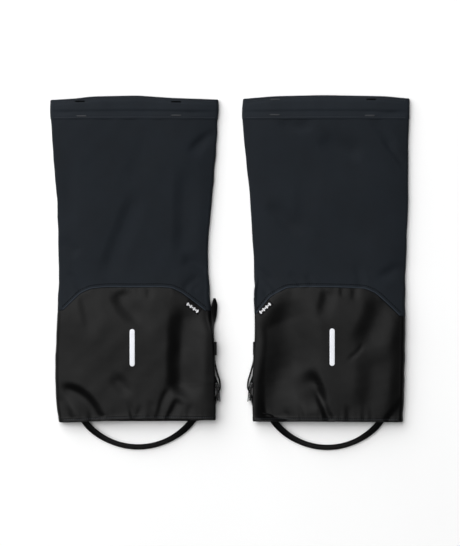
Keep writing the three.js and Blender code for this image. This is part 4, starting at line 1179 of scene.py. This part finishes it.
    # stitches on the outer face of the flap: along its free edge and beside the seam
    flat = lambda x, y: np.full(len(np.atleast_1d(x)), 0.22)
    stitch_line(g, "flap_stitch_1", [(OVERLAP - 3, HEM_Y + 3), (OVERLAP - 3, BACK_TOP - 3)], flat, 2.0, 1.2, 0.28, M_THREAD_MID, lift=0.04, body=nm + "flap", down=True)
    stitch_line(g, "flap_stitch_2", [(-80, BACK_SEAM + 2.6), (OVERLAP - 2, BACK_SEAM + 2.6)], flat, 2.0, 1.2, 0.28, M_THREAD_MID, lift=0.04, body=nm + "flap", down=True)
    stitch_line(g, "flap_stitch_3", [(-80, HEM_Y + 5), (OVERLAP - 2, HEM_Y + 5)], flat, 2.0, 1.2, 0.28, M_THREAD_MID, lift=0.04, body=nm + "flap", down=True)
    stitch_line(g, "flap_stitch_4", [(-80, BACK_TOP - 9), (OVERLAP - 2, BACK_TOP - 9)], flat, 2.0, 1.2, 0.28, M_THREAD_MID, lift=0.04, body=nm + "flap", down=True)
    for i, x in enumerate((-13, 13)):
        stitch_line(g, f"tape_stitch_{i + 1}", [(x * 0.77, -168), (x * 0.77, 203)], flat, 2.0, 1.2, 0.28, M_THREAD_MID, lift=0.04, body=nm + "flap", down=True)

    # --- hook tape: a base with rows of small hooks; loop tape: a base with a brushed pile
    def tape_base(name, z0, z1, material, slot, child):
        xs, ys = np.array([-11, -10.6, 0, 10.6, 11.0]), np.linspace(205, -170, 60)
        Xg, Yg = np.meshgrid(xs, ys)
        e = 0.12 * (np.abs(Xg) > 10.8)
        outer = np.stack([Xg, Yg, z1 - e], 2)
        inner = np.stack([Xg, Yg, z0 + e], 2)
        verts, faces = thick_grid(outer, inner)
        return verts.tolist(), faces.tolist()

    hv, hf = tape_base("hook", 1.3, 1.62, M_HOOK, "hook_tape", "flap")
    xs, ys = np.meshgrid(np.arange(-10, 10.1, 1.25), np.arange(-168, 204, 1.9))
    xs = xs + (np.arange(xs.shape[0]) % 2)[:, None] * 0.5 - 0.25
    for x, y in zip(xs.ravel(), ys.ravel()):
        k0 = len(hv)
        lean_ = 0.22
        hv += [(x - 0.2, y - 0.16, 1.55), (x + 0.2, y - 0.16, 1.55), (x + 0.2, y + 0.16, 1.55), (x - 0.2, y + 0.16, 1.55),
               (x - 0.15, y - 0.1 + lean_, 2.0), (x + 0.15, y - 0.1 + lean_, 2.0), (x + 0.15, y + 0.3 + lean_, 2.1), (x - 0.15, y + 0.3 + lean_, 2.1)]
        hf += [[k0, k0 + 3, k0 + 2, k0 + 1], [k0 + 4, k0 + 5, k0 + 6, k0 + 7], [k0, k0 + 1, k0 + 5, k0 + 4], [k0 + 1, k0 + 2, k0 + 6, k0 + 5], [k0 + 2, k0 + 3, k0 + 7, k0 + 6], [k0 + 3, k0, k0 + 4, k0 + 7]]
    hook = fix_normals(new_object(nm + "hook_strip", to_world(g, np.array(hv)), hf, M_HOOK, nm + "flap", smooth_faces=False))
    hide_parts(nm + "hook_tape")
    xs, ys = np.linspace(-11, 11, 45), np.linspace(205, -170, 560)
    Xg, Yg = np.meshgrid(xs, ys)
    r2 = np.random.default_rng(seed + 15)
    pile = 0.22 * r2.random(Xg.shape) + 0.10 * r2.random((Xg.shape[0] // 4, Xg.shape[1] // 4 + 1)).repeat(4, 0).repeat(4, 1)[: Xg.shape[0], : Xg.shape[1]]
    edge = smooth(0, 0.9, np.minimum(11 - np.abs(Xg), np.minimum(205 - Yg, Yg + 170)))
    outer = np.stack([Xg, Yg, 2.82 - pile * edge], 2)
    inner = np.stack([Xg, Yg, np.full(Xg.shape, 3.45)], 2)
    verts, faces = thick_grid(inner, outer)
    loop_ob = fix_normals(new_object(nm + "loop_strip", to_world(g, verts), faces, M_LOOP, nm + "underlap"))
    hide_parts(nm + "loop_tape")

    # --- press studs
    for end, y in zip(("top", "bottom"), SNAP_Y):
        cap = lathe(nm + "cap_" + end, [(0, 0.02), (4.4, 0.0), (5.4, 0.14), (5.9, 0.45), (6, 0.75), (5.7, 1.0), (4.7, 1.1), (4.6, 1.5), (4.6, 2.05), (4.4, 2.2), (3.0, 2.2), (2.5, 2.1), (2.3, 1.9), (2.3, 1.2), (0, 1.2)],
                    (g.cx, y, 0), M_SNAP, nm + "flap")
        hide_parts(nm + "snap_cap_" + end)
        stud = lathe(nm + "stud_" + end, [(0, 1.5), (1.1, 1.52), (1.6, 1.68), (1.8, 1.95), (1.62, 2.25), (1.75, 2.5), (4.2, 2.5), (4.6, 2.7), (4.6, 3.1), (4.3, 3.3), (0, 3.3)],
                     (g.cx, y, 0), M_SNAP, nm + "underlap")
        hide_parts(nm + "snap_stud_" + end)

    # --- hardware that keeps its CAD shape
    keep_node(nm + "strap_anchor", M_WEBBING, 0.2)
    keep_node(nm + "buckle_loop", M_WEBBING, 0.2)
    keep_node(nm + "hook_loop", M_WEBBING, 0.2)
    keep_node(nm + "buckle_frame", M_BUCKLE, 0.35, 3)
    keep_node(nm + "buckle_pin", M_PIN, 0.2)
    keep_node(nm + "lace_hook", M_STEEL, 0.25)

    # ribs along the two legs of the buckle's frame
    bx, by, zc = w + 3.1, -151.5, 7.9
    verts, faces = [], []
    t = math.radians(4.6)
    for side in (-1, 1):
        for i in range(7):
            yy = -3.6 - 1.9 * i
            zz = side * 6.4
            k0 = len(verts)
            for dz in (-0.75, 0.75):
                for dx, dy in ((1.15, -0.55), (1.15, 0.55), (1.75, 0.25), (1.75, -0.25)):
                    xx = bx + dx * math.cos(t) - (yy + dy) * math.sin(t)
                    y2 = by + dx * math.sin(t) + (yy + dy) * math.cos(t)
                    verts.append((xx, y2, zc + zz + dz))
            faces += [[k0, k0 + 1, k0 + 2, k0 + 3], [k0 + 7, k0 + 6, k0 + 5, k0 + 4]] + [[k0 + q, k0 + (q + 1) % 4, k0 + 4 + (q + 1) % 4, k0 + 4 + q] for q in range(4)]
    ribs = fix_normals(new_object(nm + "buckle_ribs", to_world(g, np.array(verts)), faces, M_BUCKLE, nm + "buckle", smooth_faces=False))


for g_ in (LEFT, RIGHT):
    build(g_)

# ---------------------------------------------------------------- floor, light and camera
M_FLOOR, nt, b = shader("floor_white")
fn = node(nt, "ShaderNodeTexNoise", Scale=3.0, Detail=2.0)
tc = node(nt, "ShaderNodeTexCoord")
nt.links.new(tc.outputs["Object"], fn.inputs["Vector"])
nt.links.new(ramp(nt, fn.outputs["Fac"], [(0.3, (0.93, 0.93, 0.93)), (0.7, (0.95, 0.95, 0.95))]), b.inputs["Base Color"])
b.inputs["Roughness"].default_value = 0.9
b.inputs["Specular IOR Level"].default_value = 0.0
me = bpy.data.meshes.new("floor")
me.from_pydata([(-4, -4, -0.0002), (4, -4, -0.0002), (4, 4, -0.0002), (-4, 4, -0.0002)], [], [[0, 1, 2, 3]])
floor = bpy.data.objects.new("floor", me)
me.materials.append(M_FLOOR)
bpy.context.scene.collection.objects.link(floor)

world = bpy.data.worlds.new("studio")
bpy.context.scene.world = world
world.use_nodes = True
world.node_tree.nodes["Background"].inputs[0].default_value = (1, 1, 1, 1)
world.node_tree.nodes["Background"].inputs[1].default_value = 0.04


def area_light(name, place, target, size, energy, colour=(1, 1, 1)):
    d = bpy.data.lights.new(name, "AREA")
    d.shape = "RECTANGLE"
    d.size, d.size_y = size
    d.energy = energy
    d.color = colour
    o = bpy.data.objects.new(name, d)
    o.location = place
    o.rotation_mode = "QUATERNION"
    o.rotation_quaternion = (Vector(target) - Vector(place)).to_track_quat("-Z", "Y")
    bpy.context.scene.collection.objects.link(o)
    return o


area_light("key", (-3.8, 3.8, 4.5), (0, 0, 0), (9.8, 9.8), 880)
area_light("overhead", (-0.5, 0.5, 5.0), (-0.5, 0.5, 0), (3.4, 3.4), 104)

cam = bpy.data.cameras.new("camera")
cam.lens, cam.sensor_width, cam.sensor_fit = 200, 36, "AUTO"
cam.clip_end = 50
cam_ob = bpy.data.objects.new("camera", cam)
half = 0.5 * 546 * 1.337 * MM
cam_ob.location = (0, -0.2 * 1.337 * MM, 0.010 + half * cam.lens / (cam.sensor_width / 2))
cam_ob.rotation_euler = (0, 0, 0)
bpy.context.scene.collection.objects.link(cam_ob)
bpy.context.scene.camera = cam_ob
bpy.context.scene.view_settings.view_transform = "Standard"
bpy.context.scene.view_settings.look = "None"

bpy.context.view_layer.update()
